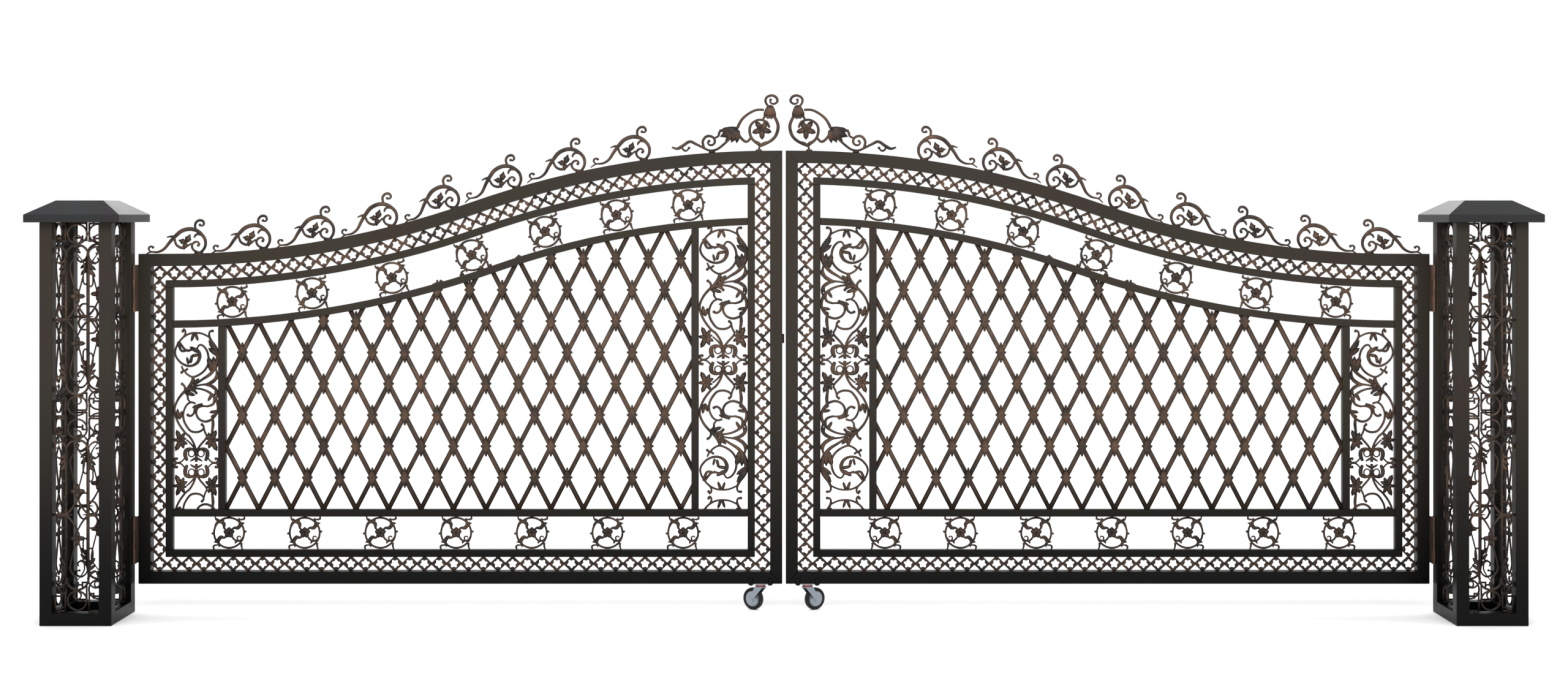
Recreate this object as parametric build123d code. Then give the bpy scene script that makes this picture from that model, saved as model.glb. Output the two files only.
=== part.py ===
from build123d import *
from math import asin, atan2, ceil, cos, degrees, hypot, pi, radians, sin
import os

# Double driveway gate: two openwork swing leaves between two square openwork posts.
# Lengths are in millimetres. X runs along the gate, +Y points to the yard, +Z is up.
# The origin is the centre of the left post's foot. Every left-hand piece is modelled
# in place, and its right-hand twin is its mirror image in the gate's middle plane.

# Posts
post_width = 284.0
post_height = 1589.0
post_tube = 50.0
foot_plate = 6.0
cap_overhang = 46.0
cap_fascia = 31.0
cap_rise = 56.0
cap_top_width = 190.0
panel_thickness = 12.0
panel_bar = 8.0
oval_width = 92.0
oval_length = 596.0

# Leaves
leaf_width = 2630.0
leaf_gap = 14.0
ground_clearance = 112.5
outer_tube = 50.0
inner_tube = 30.0
band_gap = 57.5
meeting_band_gap = 62.0
rosette_gap = 135.0
hinge_scroll_width = 185.0
meeting_scroll_width = 200.0

# The top rail's line: level, a rising curve of two equal arcs, then level
hinge_side_height = 1459.0
meeting_side_height = 1881.0
curve_start = 120.0
curve_end_margin = 33.0

# Cast bands of diamonds
diamond_pitch = 60.0
band_thickness = 12.0
link_neck = 5.0

# Diamond lattice
lattice_pitch = 133.0
lattice_row = 128.0
lattice_bar = 20.0
lattice_thickness = 16.0

# Cast rosettes between the rails
rosette_count = 7
rosette_hinge_margin = 364.0
rosette_meeting_margin = 406.0
rosette_bar = 8.0
rosette_arm = 9.0
rosette_thickness = 12.0
seat_allowance = 2.0

# Cast scroll panels and the crest
scroll_bar = 9.0
scroll_thickness = 12.0
scroll_motif_height = 545.0
crest_count = 8
crest_first = 55.0
crest_length = 240.0
crest_height = 141.0
crest_bar = 9.0
crest_thickness = 10.0
end_scroll_length = 430.0
end_scroll_height = 238.0
end_scroll_bar = 11.0
end_scroll_margin = 13.0
crest_end_gap = 48.0

# Hinges
hinge_gap = 12.0
hinge_length = 190.0
hinge_plate_width = 40.0
hinge_plate = 3.0
lower_hinge_bottom = 200.0
upper_hinge_bottom = 1225.0
knuckle_share = 0.32
knuckle_clearance = 0.3
notch_clearance = 0.8
hinge_pin_radius = 3.0
pin_clearance = 0.1

# Casters
caster_inset = 89.0
caster_plate_length = 100.0
caster_plate_width = 46.0
caster_plate = 4.0
race_radius = 20.0
race_height = 8.0
kingpin_radius = 6.0
round_sides = 16
pin_sides = 8
fork_gap = 1.0
fork_plate = 3.0
fork_top_radius = 24.0
fork_foot_radius = 11.0
caster_trail = 36.0
caster_turn = -34.0
wheel_radius = 45.0
wheel_width = 24.0
wheel_side_clearance = 3.0
axle_radius = 5.0

# Stop lug on the meeting stile
lug_height = 37.0
lug_thickness = 8.0
lug_depth = 26.0
lug_centre_height = 1113.0

# Derived places
half_post = post_width / 2
leaf_start = half_post + hinge_gap
gate_middle = leaf_start + leaf_width + leaf_gap / 2
leaf_front = half_post
leaf_mid_plane = leaf_front + outer_tube / 2
hinge_x = half_post + hinge_gap / 2
hinge_y = half_post
knuckle_radius = hinge_gap / 2 - knuckle_clearance

frame_left = outer_tube
frame_right = leaf_width - outer_tube
band_bottom = ground_clearance + outer_tube
inner_bottom = band_bottom + band_gap
rosette_bottom = inner_bottom + inner_tube
panel_bottom = rosette_bottom + rosette_gap
lattice_bottom = panel_bottom + inner_tube
inner_left = frame_left + band_gap
inner_right = frame_right - meeting_band_gap
hinge_scroll_start = inner_left + inner_tube
lattice_left = hinge_scroll_start + hinge_scroll_width + inner_tube
meeting_scroll_end = inner_right - inner_tube
lattice_right = meeting_scroll_end - meeting_scroll_width - inner_tube

band_top_offset = outer_tube
inner_top_offset = band_top_offset + band_gap
rosette_top_offset = inner_top_offset + inner_tube
panel_top_offset = rosette_top_offset + rosette_gap
lattice_top_offset = panel_top_offset + inner_tube

curve_end = leaf_width - curve_end_margin
curve_run = curve_end - curve_start
curve_climb = meeting_side_height - hinge_side_height
curve_radius = (curve_run**2 + curve_climb**2) / (4 * curve_climb)
curve_turn = asin(curve_run / (2 * curve_radius))
curve_low_centre = hinge_side_height + curve_radius
curve_high_centre = meeting_side_height - curve_radius

end_scroll_end = leaf_width - end_scroll_margin
crest_run = end_scroll_end - end_scroll_length - crest_end_gap - crest_first
crest_pitch = crest_run / crest_count
rosette_run = leaf_width - rosette_hinge_margin - rosette_meeting_margin
rosette_pitch = rosette_run / (rosette_count - 1)

os.makedirs("parts", exist_ok=True)


def top_point(run, offset):
    """Point on the line that lies `offset` below the top edge, `run` along the edge."""
    arc_length = curve_radius * curve_turn
    if run < curve_start:
        return (run, hinge_side_height - offset)
    run -= curve_start
    if run < arc_length:
        angle = run / curve_radius
        radius = curve_radius + offset
        return (curve_start + radius * sin(angle), curve_low_centre - radius * cos(angle))
    run -= arc_length
    if run < arc_length:
        angle = curve_turn - run / curve_radius
        radius = curve_radius - offset
        return (curve_end - radius * sin(angle), curve_high_centre + radius * cos(angle))
    return (curve_end + run - arc_length, meeting_side_height - offset)


def run_at(across):
    """Run along the top edge to the point that lies `across` from the hinge end."""
    if across < curve_start:
        return across
    middle = (curve_start + curve_end) / 2
    if across < middle:
        return curve_start + curve_radius * asin((across - curve_start) / curve_radius)
    if across < curve_end:
        back = curve_radius * asin((curve_end - across) / curve_radius)
        return curve_start + 2 * curve_radius * curve_turn - back
    return curve_start + 2 * curve_radius * curve_turn + across - curve_end


def top_curve(offset):
    """The top edge, moved down by `offset` along its normal, as tangent lines and arcs."""
    arc_length = curve_radius * curve_turn
    start = top_point(0, offset)
    knee = top_point(curve_start, offset)
    low = top_point(curve_start + arc_length / 2, offset)
    turn = top_point(curve_start + arc_length, offset)
    high = top_point(curve_start + arc_length * 3 / 2, offset)
    crown = top_point(curve_start + arc_length * 2, offset)
    end = (leaf_width, crown[1])
    return [
        Line(start, knee),
        ThreePointArc(knee, low, turn),
        ThreePointArc(turn, high, crown),
        Line(crown, end),
    ]


def curved_strip(upper_offset, lower_offset):
    """Face between two lines parallel to the top edge, over the leaf's whole width."""
    upper = top_curve(upper_offset)
    lower = top_curve(lower_offset)
    ends = [Line(upper[0] @ 0, lower[0] @ 0), Line(upper[-1] @ 1, lower[-1] @ 1)]
    return make_face(upper + lower + ends)


def below_curve(offset, floor):
    """Face from the level `floor` up to the line `offset` below the top edge."""
    upper = top_curve(offset)
    left = (0, floor)
    right = (leaf_width, floor)
    sides = [Line(upper[0] @ 0, left), Line(left, right), Line(right, upper[-1] @ 1)]
    return make_face(upper + sides)


def polygon(points):
    """Flat face inside a closed outline of straight edges, facing up."""
    area = 0
    for index, point in enumerate(points):
        area += points[index - 1][0] * point[1] - point[0] * points[index - 1][1]
    if area < 0:
        points = points[::-1]
    return make_face(Polyline(*points, close=True))


def rectangle(left, bottom, right, top):
    """Flat rectangular face given by its edges."""
    return polygon([(left, bottom), (right, bottom), (right, top), (left, top)])


def stand(face, thickness):
    """Leaf piece: the flat face stood upright, centred in the leaf's depth."""
    slab = Rot(90, 0, 0) * extrude(face, thickness / 2, both=True)
    return Pos(leaf_start, leaf_mid_plane, 0) * slab


def ribbon(points, width):
    """Flat bar of even width that follows a line of points, with mitred joints."""
    left = []
    right = []
    for index, point in enumerate(points):
        before = points[max(index - 1, 0)]
        after = points[min(index + 1, len(points) - 1)]
        into = atan2(point[1] - before[1], point[0] - before[0]) if index > 0 else None
        out = atan2(after[1] - point[1], after[0] - point[0]) if index < len(points) - 1 else None
        first = into if into is not None else out
        last = out if out is not None else into
        turn = (last - first + pi) % (2 * pi) - pi
        heading = first + turn / 2
        reach = width / 2 / max(cos(turn / 2), 0.5)
        left.append((point[0] - reach * sin(heading), point[1] + reach * cos(heading)))
        right.append((point[0] + reach * sin(heading), point[1] - reach * cos(heading)))
    return polygon(left + right[::-1])


def spiral(centre, start_radius, end_radius, start_angle, end_angle, steps):
    """Points on a spiral about `centre`; angles in degrees, anticlockwise."""
    points = []
    for step in range(steps + 1):
        share = step / steps
        radius = start_radius + (end_radius - start_radius) * share
        angle = radians(start_angle + (end_angle - start_angle) * share)
        points.append((centre[0] + radius * cos(angle), centre[1] + radius * sin(angle)))
    return points


def fuse(faces):
    """One flat face from several that overlap."""
    return faces[0] + faces[1:]


def prism(radius, length, sides):
    """Round bar along Z about the origin, drawn with flats that touch `radius` at their ends."""
    return extrude(RegularPolygon(radius, sides, major_radius=True), length / 2, both=True)


def bore(radius, length, sides):
    """Cutter for a round bore, drawn with flats that keep clear of `radius`."""
    return extrude(RegularPolygon(radius, sides, major_radius=False), length / 2, both=True)


def ring_face(half_width, half_height, bar):
    """Oval ring of even bar width, with pointed ends and three flats to a side."""
    faces = []
    for inset in (0, bar):
        wide = half_width - inset
        tall = half_height - inset
        shoulder = tall - 0.58 * wide
        faces.append(polygon([
            (wide, shoulder), (0, tall), (-wide, shoulder),
            (-wide, -shoulder), (0, -tall), (wide, -shoulder),
        ]))
    return faces[0] - faces[1]


def write(name, solids):
    """Write a left-hand node, one solid or several, and its mirror image."""
    shape = Compound(children=solids) if len(solids) > 1 else solids[0]
    export_step(shape, f"parts/left_{name}.step")
    twins = [mirror(solid, Plane.YZ.offset(gate_middle)) for solid in solids]
    twin = Compound(children=twins) if len(twins) > 1 else twins[0]
    export_step(twin, f"parts/right_{name}.step")


# Post: four corner tubes on a welded bottom ring, the openwork sides, and the cap
def make_post_frame():
    ring = Rectangle(post_width, post_width) - Rectangle(
        post_width - 2 * post_tube, post_width - 2 * post_tube
    )
    frame = extrude(Rectangle(post_width, post_width), foot_plate) + extrude(ring, post_tube)
    corner = half_post - post_tube / 2
    for side_x in (-corner, corner):
        for side_y in (-corner, corner):
            tube = extrude(Rectangle(post_tube, post_tube), post_height - post_tube)
            frame += Pos(side_x, side_y, post_tube) * tube
    return frame


def make_post_cap():
    width = post_width + 2 * cap_overhang
    fascia = Pos(0, 0, post_height) * extrude(Rectangle(width, width), cap_fascia)
    lean = degrees(atan2((width - cap_top_width) / 2, cap_rise))
    roof = extrude(Rectangle(width, width), cap_rise, taper=lean)
    return fascia + Pos(0, 0, post_height + cap_fascia) * roof


def make_post_panel():
    """Openwork casting for one side, in the plane Y = 0, between corner tubes."""
    opening = post_width - 2 * post_tube
    unit = (post_height - post_tube) / 2
    oval = Pos(0, unit / 2) * ring_face(oval_width / 2, oval_length / 2, panel_bar)
    side_tie = Pos(0, unit / 2) * (
        Rectangle(opening, panel_bar) - Rectangle(oval_width - panel_bar, panel_bar)
    )
    ring_reach = (unit - oval_length) / 4 + 0.75 * panel_bar
    ring_rise = ring_reach - panel_bar / 2
    faces = []
    for base in (post_tube, post_tube + unit):
        faces += [Pos(0, base) * oval, Pos(0, base) * side_tie]
        for centre in (ring_rise, unit - ring_rise):
            faces.append(Pos(0, base + centre) * ring_face(ring_reach, ring_reach, panel_bar))
    panel = fuse(faces) & rectangle(-opening / 2, post_tube, opening / 2, post_height)
    return Rot(90, 0, 0) * extrude(panel, panel_thickness / 2, both=True)


def make_post_panels():
    side = half_post - post_tube / 2
    panel = make_post_panel()
    return [Rot(0, 0, 90 * quarter) * Pos(0, -side, 0) * panel for quarter in range(4)]


# Leaf frame of square tube, mitred at the outer corners
def make_hinge_stile():
    outline = [
        (0, ground_clearance),
        (outer_tube, ground_clearance + outer_tube),
        (outer_tube, hinge_side_height - outer_tube),
        (0, hinge_side_height),
    ]
    return stand(polygon(outline), outer_tube)


def make_meeting_stile():
    outline = [
        (leaf_width, ground_clearance),
        (leaf_width, meeting_side_height),
        (leaf_width - outer_tube, meeting_side_height - outer_tube),
        (leaf_width - outer_tube, ground_clearance + outer_tube),
    ]
    return stand(polygon(outline), outer_tube)


def make_bottom_rail():
    outline = [
        (0, ground_clearance),
        (leaf_width, ground_clearance),
        (leaf_width - outer_tube, ground_clearance + outer_tube),
        (outer_tube, ground_clearance + outer_tube),
    ]
    return stand(polygon(outline), outer_tube)


def make_top_rail():
    keep = polygon([
        (0, hinge_side_height),
        (outer_tube, hinge_side_height - outer_tube),
        (outer_tube, ground_clearance),
        (leaf_width - outer_tube, ground_clearance),
        (leaf_width - outer_tube, meeting_side_height - outer_tube),
        (leaf_width, meeting_side_height),
        (leaf_width, 2 * meeting_side_height),
        (0, 2 * meeting_side_height),
    ])
    return stand(curved_strip(0, outer_tube) & keep, outer_tube)


def between(left, right):
    """Tall face that keeps only what lies between two upright lines."""
    return rectangle(left, 0, right, 2 * meeting_side_height)


def make_inner_stiles():
    top = below_curve(rosette_top_offset, rosette_bottom)
    hinge_side = top & between(inner_left, inner_left + inner_tube)
    meeting_side = top & between(inner_right - inner_tube, inner_right)
    return [stand(hinge_side, inner_tube), stand(meeting_side, inner_tube)]


def make_inner_rails():
    lower = rectangle(inner_left, inner_bottom, inner_right, rosette_bottom)
    upper = curved_strip(inner_top_offset, rosette_top_offset) & between(inner_left, inner_right)
    return [stand(lower, inner_tube), stand(upper, inner_tube)]


def make_panel_rails():
    left = hinge_scroll_start
    right = meeting_scroll_end
    lower = rectangle(left, panel_bottom, right, lattice_bottom)
    upper = curved_strip(panel_top_offset, lattice_top_offset) & between(left, right)
    return [stand(lower, inner_tube), stand(upper, inner_tube)]


def make_mullions():
    field = below_curve(lattice_top_offset, lattice_bottom)
    hinge_side = field & between(lattice_left - inner_tube, lattice_left)
    meeting_side = field & between(lattice_right, lattice_right + inner_tube)
    return [stand(hinge_side, inner_tube), stand(meeting_side, inner_tube)]


# Cast bands: diamonds joined point to point between the frame tubes
def diamond_chain(length, gap, place):
    """Outline of a row of diamonds; `place` maps (along, across) to the leaf's plane."""
    count = round(length / diamond_pitch)
    pitch = length / count
    near = []
    far = []
    for link in range(count + 1):
        near.append(place(link * pitch, gap / 2 - link_neck / 2))
        far.append(place(link * pitch, gap / 2 + link_neck / 2))
        if link < count:
            near.append(place((link + 0.5) * pitch, 0))
            far.append(place((link + 0.5) * pitch, gap))
    return polygon(near + far[::-1])


def make_diamond_bands():
    start = run_at(frame_left)
    finish = run_at(frame_right)
    hinge_top = hinge_side_height - inner_top_offset
    meeting_top = meeting_side_height - inner_top_offset
    bottom = diamond_chain(
        frame_right - frame_left,
        band_gap,
        lambda along, across: (frame_left + along, band_bottom + across),
    )
    top = diamond_chain(
        finish - start,
        band_gap,
        lambda along, across: top_point(start + along, inner_top_offset - across),
    ) & between(frame_left, frame_right)
    hinge_side = diamond_chain(
        hinge_top - inner_bottom,
        band_gap,
        lambda along, across: (inner_left - across, inner_bottom + along),
    )
    meeting_side = diamond_chain(
        meeting_top - inner_bottom,
        meeting_band_gap,
        lambda along, across: (frame_right - across, inner_bottom + along),
    )
    return [stand(face, band_thickness) for face in (bottom, top, hinge_side, meeting_side)]


# Lattice of flat bars in two layers that touch where they cross
def make_lattice():
    width = lattice_right - lattice_left
    height = meeting_side_height - lattice_bottom
    lean = lattice_pitch / 2 / lattice_row
    reach = height * lean
    half_width = lattice_bar / 2 * hypot(1, lean)
    field = below_curve(lattice_top_offset, lattice_bottom) & between(lattice_left, lattice_right)
    solids = []
    for side in (1, -1):
        first = -ceil(reach / lattice_pitch) if side > 0 else 0
        last = ceil(width / lattice_pitch) if side > 0 else ceil((width + reach) / lattice_pitch)
        for index in range(first, last + 1):
            foot = lattice_left + index * lattice_pitch
            head = foot + side * reach
            bar = field & polygon([
                (foot - half_width, lattice_bottom),
                (foot + half_width, lattice_bottom),
                (head + half_width, lattice_bottom + height),
                (head - half_width, lattice_bottom + height),
            ])
            for length in bar.faces() if bar else []:
                layer = stand(length, lattice_thickness / 2)
                solids.append(Pos(0, side * lattice_thickness / 4, 0) * layer)
    return solids


# Rosettes: a ring with three arms, seated between two rails
def rosette_face():
    reach = rosette_gap / 2 + seat_allowance
    inside = rosette_gap / 2 - rosette_bar
    ring = RegularPolygon(reach, 8, major_radius=False, rotation=22.5)
    corner = Rot(0, 0, 225)
    for start, end in ((-60, 60), (60, 180), (180, 300)):
        window = []
        for angle in (start, (start + end) / 2, end):
            window.append((inside * cos(radians(angle)), inside * sin(radians(angle))))
        opening = polygon([(0, 0)] + window)
        ring -= corner * opening - fuse([
            Rot(0, 0, 225 + side) * Rectangle(2 * inside, rosette_arm) for side in (start, end)
        ])
    return ring


def make_rosettes():
    face = rosette_face()
    level_gap = rectangle(inner_left, rosette_bottom, inner_right, panel_bottom)
    curved_gap = curved_strip(rosette_top_offset, panel_top_offset)
    solids = []
    for index in range(rosette_count):
        across = rosette_hinge_margin + index * rosette_pitch
        low = Pos(across, rosette_bottom + rosette_gap / 2) * face
        run = run_at(across)
        middle = top_point(run, rosette_top_offset + rosette_gap / 2)
        ahead = top_point(run + 1, rosette_top_offset + rosette_gap / 2)
        slope = degrees(atan2(ahead[1] - middle[1], ahead[0] - middle[0]))
        high = Pos(*middle) * Rot(0, 0, slope) * face
        solids += [stand(low & level_gap, rosette_thickness)]
        solids += [stand(high & curved_gap, rosette_thickness)]
    return solids


# Scroll panels: a stem that winds into two scrolls, repeated upside down below
def scroll_strokes(width):
    """Centre lines of half a motif, from its top on Y = 0 down to its mirror line."""
    half = scroll_bar / 2
    big = (0.46 * width, -0.2 * scroll_motif_height)
    small = (0.71 * width, -0.59 * scroll_motif_height)
    big_radius = 0.46 * width - half
    small_radius = 0.29 * width - half
    neck = (big[0], big[1] - 0.95 * big_radius)
    foot = (0.5 * width, -scroll_motif_height)
    return [
        spiral(big, big_radius, 0.35 * big_radius, -50, 290, 8),
        spiral(small, small_radius, 0.3 * small_radius, 170, -170, 6),
        [neck, (0.2 * width, -0.46 * scroll_motif_height), (half, -0.6 * scroll_motif_height),
         (0.13 * width, -0.76 * scroll_motif_height), foot],
        [(big[0] + 0.64 * big_radius, big[1] - 0.77 * big_radius), neck,
         (small[0] - small_radius, small[1])],
        [foot, (0.72 * width, -0.82 * scroll_motif_height),
         (small[0], small[1] - 0.45 * small_radius)],
        [(0.2 * width, seat_allowance), (0.3 * width, big[1] + 0.5 * big_radius)],
        [(0.8 * width, seat_allowance), (0.65 * width, big[1] + 0.5 * big_radius)],
    ]


def make_scroll_panel(left, width, corner_height):
    """Scroll casting of one end bay: a motif from the top, mirrored down to the rail."""
    field = below_curve(lattice_top_offset, lattice_bottom) & between(left, left + width)
    faces = []
    top = corner_height
    direction = -1
    while top > lattice_bottom:
        mirror_line = top - scroll_motif_height
        start = top if direction < 0 else mirror_line
        for points in scroll_strokes(width):
            placed = [(left + x, start - direction * y) for x, y in points]
            faces.append(ribbon(placed, scroll_bar))
        direction = -direction
        top = mirror_line
    return stand(fuse(faces) & field, scroll_thickness)


def make_hinge_scroll_panel():
    corner = hinge_side_height - lattice_top_offset
    return make_scroll_panel(hinge_scroll_start, hinge_scroll_width, corner)


def make_meeting_scroll_panel():
    left = meeting_scroll_end - meeting_scroll_width
    corner = meeting_side_height - lattice_top_offset
    return make_scroll_panel(left, meeting_scroll_width, corner)


# Crest: small scrolls along the top rail and one large scroll at the meeting end
def crest_faces():
    """Faces of one small scroll that stands on the line Y = 0."""
    radius = 0.34 * crest_height
    centre = (crest_length - radius - crest_bar, radius + 0.06 * crest_height)
    return [
        ribbon(spiral(centre, radius, 0.4 * radius, 130, -160, 5), crest_bar),
        ribbon([
            (crest_bar, -seat_allowance),
            (0.42 * crest_length, 0.35 * crest_height),
            (centre[0] - 0.64 * radius, centre[1] + 0.77 * radius),
        ], crest_bar),
        ribbon([
            (centre[0], centre[1] + 0.85 * radius),
            (centre[0] + 0.5 * radius, crest_height - crest_bar / 2),
        ], crest_bar),
        ribbon([(centre[0], -seat_allowance), (centre[0], centre[1] - 0.5 * radius)], 2 * crest_bar),
    ]


def seat_on_top_rail(faces, across):
    """Turn faces to the top rail's slope at `across` and trim them to its line."""
    run = run_at(across)
    foot = top_point(run, 0)
    ahead = top_point(run + 1, 0)
    slope = degrees(atan2(ahead[1] - foot[1], ahead[0] - foot[0]))
    seated = fuse([Pos(*foot) * Rot(0, 0, slope) * face for face in faces])
    return seated - below_curve(0, ground_clearance)


def make_crest_scrolls():
    faces = [Pos(-crest_length / 2, 0) * face for face in crest_faces()]
    solids = []
    for index in range(crest_count):
        across = crest_first + crest_length / 2 + index * crest_pitch
        solids.append(stand(seat_on_top_rail(faces, across), crest_thickness))
    return solids


def make_crest_end_scroll():
    radius = 0.27 * end_scroll_height
    centre = (end_scroll_length - radius - end_scroll_bar, radius + 0.05 * end_scroll_height)
    curl = 0.12 * end_scroll_height
    faces = [
        ribbon(spiral(centre, 1.2 * radius, 0.3 * radius, 100, -230, 9), end_scroll_bar),
        ribbon([
            (end_scroll_bar, -seat_allowance),
            (0.25 * end_scroll_length, 0.1 * end_scroll_height),
            (0.5 * end_scroll_length, 0.35 * end_scroll_height),
            (centre[0], centre[1] + 1.2 * radius),
        ], 1.5 * end_scroll_bar),
        ribbon(spiral(
            (centre[0] + 0.3 * radius, end_scroll_height - curl), curl - end_scroll_bar / 2,
            0.5 * curl, -70, 200, 5,
        ), end_scroll_bar),
        ribbon([
            (centre[0], centre[1] + 1.1 * radius),
            (centre[0] + 0.3 * radius + 0.35 * curl, end_scroll_height - 1.8 * curl),
        ], 2 * end_scroll_bar),
        ribbon([
            (centre[0], -seat_allowance),
            (centre[0], centre[1] - 0.6 * radius),
        ], 2 * end_scroll_bar),
        ribbon([
            (0.42 * end_scroll_length, -seat_allowance),
            (0.42 * end_scroll_length, 0.3 * end_scroll_height),
        ], end_scroll_bar),
    ]
    faces = [Pos(-end_scroll_length / 2, 0) * face for face in faces]
    across = end_scroll_end - end_scroll_length / 2
    return stand(seat_on_top_rail(faces, across), crest_thickness)


# Hinges: a plate on the post with the end knuckles and pin, a plate on the stile between
def hinge_plate_shape(side, bottom, bands):
    """Plate beside the knuckle line, cut back wherever the other half has a knuckle."""
    near = hinge_gap / 2
    left = min(side * near, side * (near - hinge_plate))
    plate = Pos(left, min(0, side * hinge_plate_width), bottom) * Box(
        hinge_plate, hinge_plate_width, hinge_length, align=(Align.MIN, Align.MIN, Align.MIN)
    )
    reach = 2 * (knuckle_radius + notch_clearance)
    for start, length in bands:
        notch = Box(reach, reach, length + 2 * notch_clearance)
        plate -= Pos(0, 0, start + length / 2) * notch
    return plate


def make_hinge_half(side, bottom):
    """Half hinge: side -1 is screwed to the post and holds the pin, side 1 to the stile."""
    end_length = knuckle_share * hinge_length
    middle_start = bottom + end_length
    middle_length = hinge_length - 2 * end_length
    ends = [(bottom, end_length), (bottom + hinge_length - end_length, end_length)]
    if side < 0:
        half = hinge_plate_shape(side, bottom, [(middle_start, middle_length)])
        for start, length in ends:
            half += Pos(0, 0, start + length / 2) * prism(knuckle_radius, length, pin_sides)
        half += Pos(0, 0, bottom + hinge_length / 2) * prism(
            hinge_pin_radius, hinge_length, pin_sides
        )
    else:
        half = hinge_plate_shape(side, bottom, ends)
        barrel = prism(knuckle_radius, middle_length - 2 * knuckle_clearance, pin_sides)
        hole = bore(hinge_pin_radius + pin_clearance, hinge_length, pin_sides)
        barrel -= hole
        half -= Pos(0, 0, bottom + hinge_length / 2) * hole
        half += Pos(0, 0, middle_start + middle_length / 2) * barrel
    return Pos(hinge_x, hinge_y, 0) * half


def make_hinge_halves(side):
    return [make_hinge_half(side, bottom) for bottom in (lower_hinge_bottom, upper_hinge_bottom)]


# Casters: plate and ball race under the leaf, a swivelling fork, and the wheel
caster_x = leaf_start + leaf_width - caster_inset
caster_top = ground_clearance - caster_plate
race_bottom = caster_top - race_height
fork_top = race_bottom - fork_gap
wheel_x = -caster_trail
fork_inside = wheel_width / 2 + wheel_side_clearance


def make_caster_bracket():
    plate = Pos(0, 0, caster_top + caster_plate / 2) * Box(
        caster_plate_length, caster_plate_width, caster_plate
    )
    race = Pos(0, 0, race_bottom + race_height / 2) * prism(race_radius, race_height, round_sides)
    pin_length = race_height + fork_gap + 2 * fork_plate
    pin = Pos(0, 0, caster_top - pin_length / 2) * prism(kingpin_radius, pin_length, pin_sides)
    return Pos(caster_x, leaf_mid_plane, 0) * (plate + race + pin)


def place_fork(shape):
    """Turn a piece of the fork or wheel to its resting direction under the leaf."""
    return Pos(caster_x, leaf_mid_plane, 0) * Rot(0, 0, caster_turn) * shape


def make_caster_fork():
    crown = Pos(0, 0, fork_top - fork_plate / 2) * prism(fork_top_radius, fork_plate, round_sides)
    shoulder = Pos(0, fork_top - fork_plate / 2) * Rectangle(1.5 * fork_top_radius, fork_plate)
    foot = Pos(wheel_x, wheel_radius) * RegularPolygon(fork_foot_radius, pin_sides)
    cheek = make_hull(shoulder.edges() + foot.edges())
    fork = crown
    for side in (-1, 1):
        plate = Rot(90, 0, 0) * extrude(cheek, fork_plate / 2, both=True)
        fork += Pos(0, side * (fork_inside + fork_plate / 2), 0) * plate
    axle_length = 2 * (fork_inside + fork_plate)
    axle = prism(axle_radius, axle_length, pin_sides)
    fork += Pos(wheel_x, 0, wheel_radius) * Rot(90, 0, 0) * axle
    fork -= Pos(0, 0, fork_top) * bore(kingpin_radius + pin_clearance, 4 * fork_plate, pin_sides)
    return place_fork(fork)


def make_caster_wheel():
    wheel = prism(wheel_radius, wheel_width, round_sides)
    wheel -= bore(axle_radius + pin_clearance, wheel_width, pin_sides)
    return place_fork(Pos(wheel_x, 0, wheel_radius) * Rot(90, 0, 0) * wheel)


def make_stop_lug():
    lug = Box(lug_thickness, lug_depth, lug_height, align=(Align.MIN, Align.CENTER, Align.CENTER))
    return Pos(leaf_start + leaf_width, leaf_mid_plane, lug_centre_height) * lug


write("post_frame", [make_post_frame()])
write("post_cap", [make_post_cap()])
write("post_panels", make_post_panels())
write("post_hinge_halves", make_hinge_halves(-1))
write("hinge_stile", [make_hinge_stile()])
write("meeting_stile", [make_meeting_stile()])
write("bottom_rail", [make_bottom_rail()])
write("top_rail", [make_top_rail()])
write("inner_stiles", make_inner_stiles())
write("inner_rails", make_inner_rails())
write("panel_rails", make_panel_rails())
write("mullions", make_mullions())
write("diamond_bands", make_diamond_bands())
write("lattice", make_lattice())
write("rosettes", make_rosettes())
write("hinge_scroll_panel", [make_hinge_scroll_panel()])
write("meeting_scroll_panel", [make_meeting_scroll_panel()])
write("crest_scrolls", make_crest_scrolls())
write("crest_end_scroll", [make_crest_end_scroll()])
write("leaf_hinge_halves", make_hinge_halves(1))
write("caster_bracket", [make_caster_bracket()])
write("caster_fork", [make_caster_fork()])
write("caster_wheel", [make_caster_wheel()])
export_step(make_stop_lug(), "parts/stop_lug.step")
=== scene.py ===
from math import asin, atan2, cos, pi, radians, sin, tau

import bmesh
import bpy
from mathutils import Matrix, Vector
from mathutils.geometry import interpolate_bezier


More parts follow.
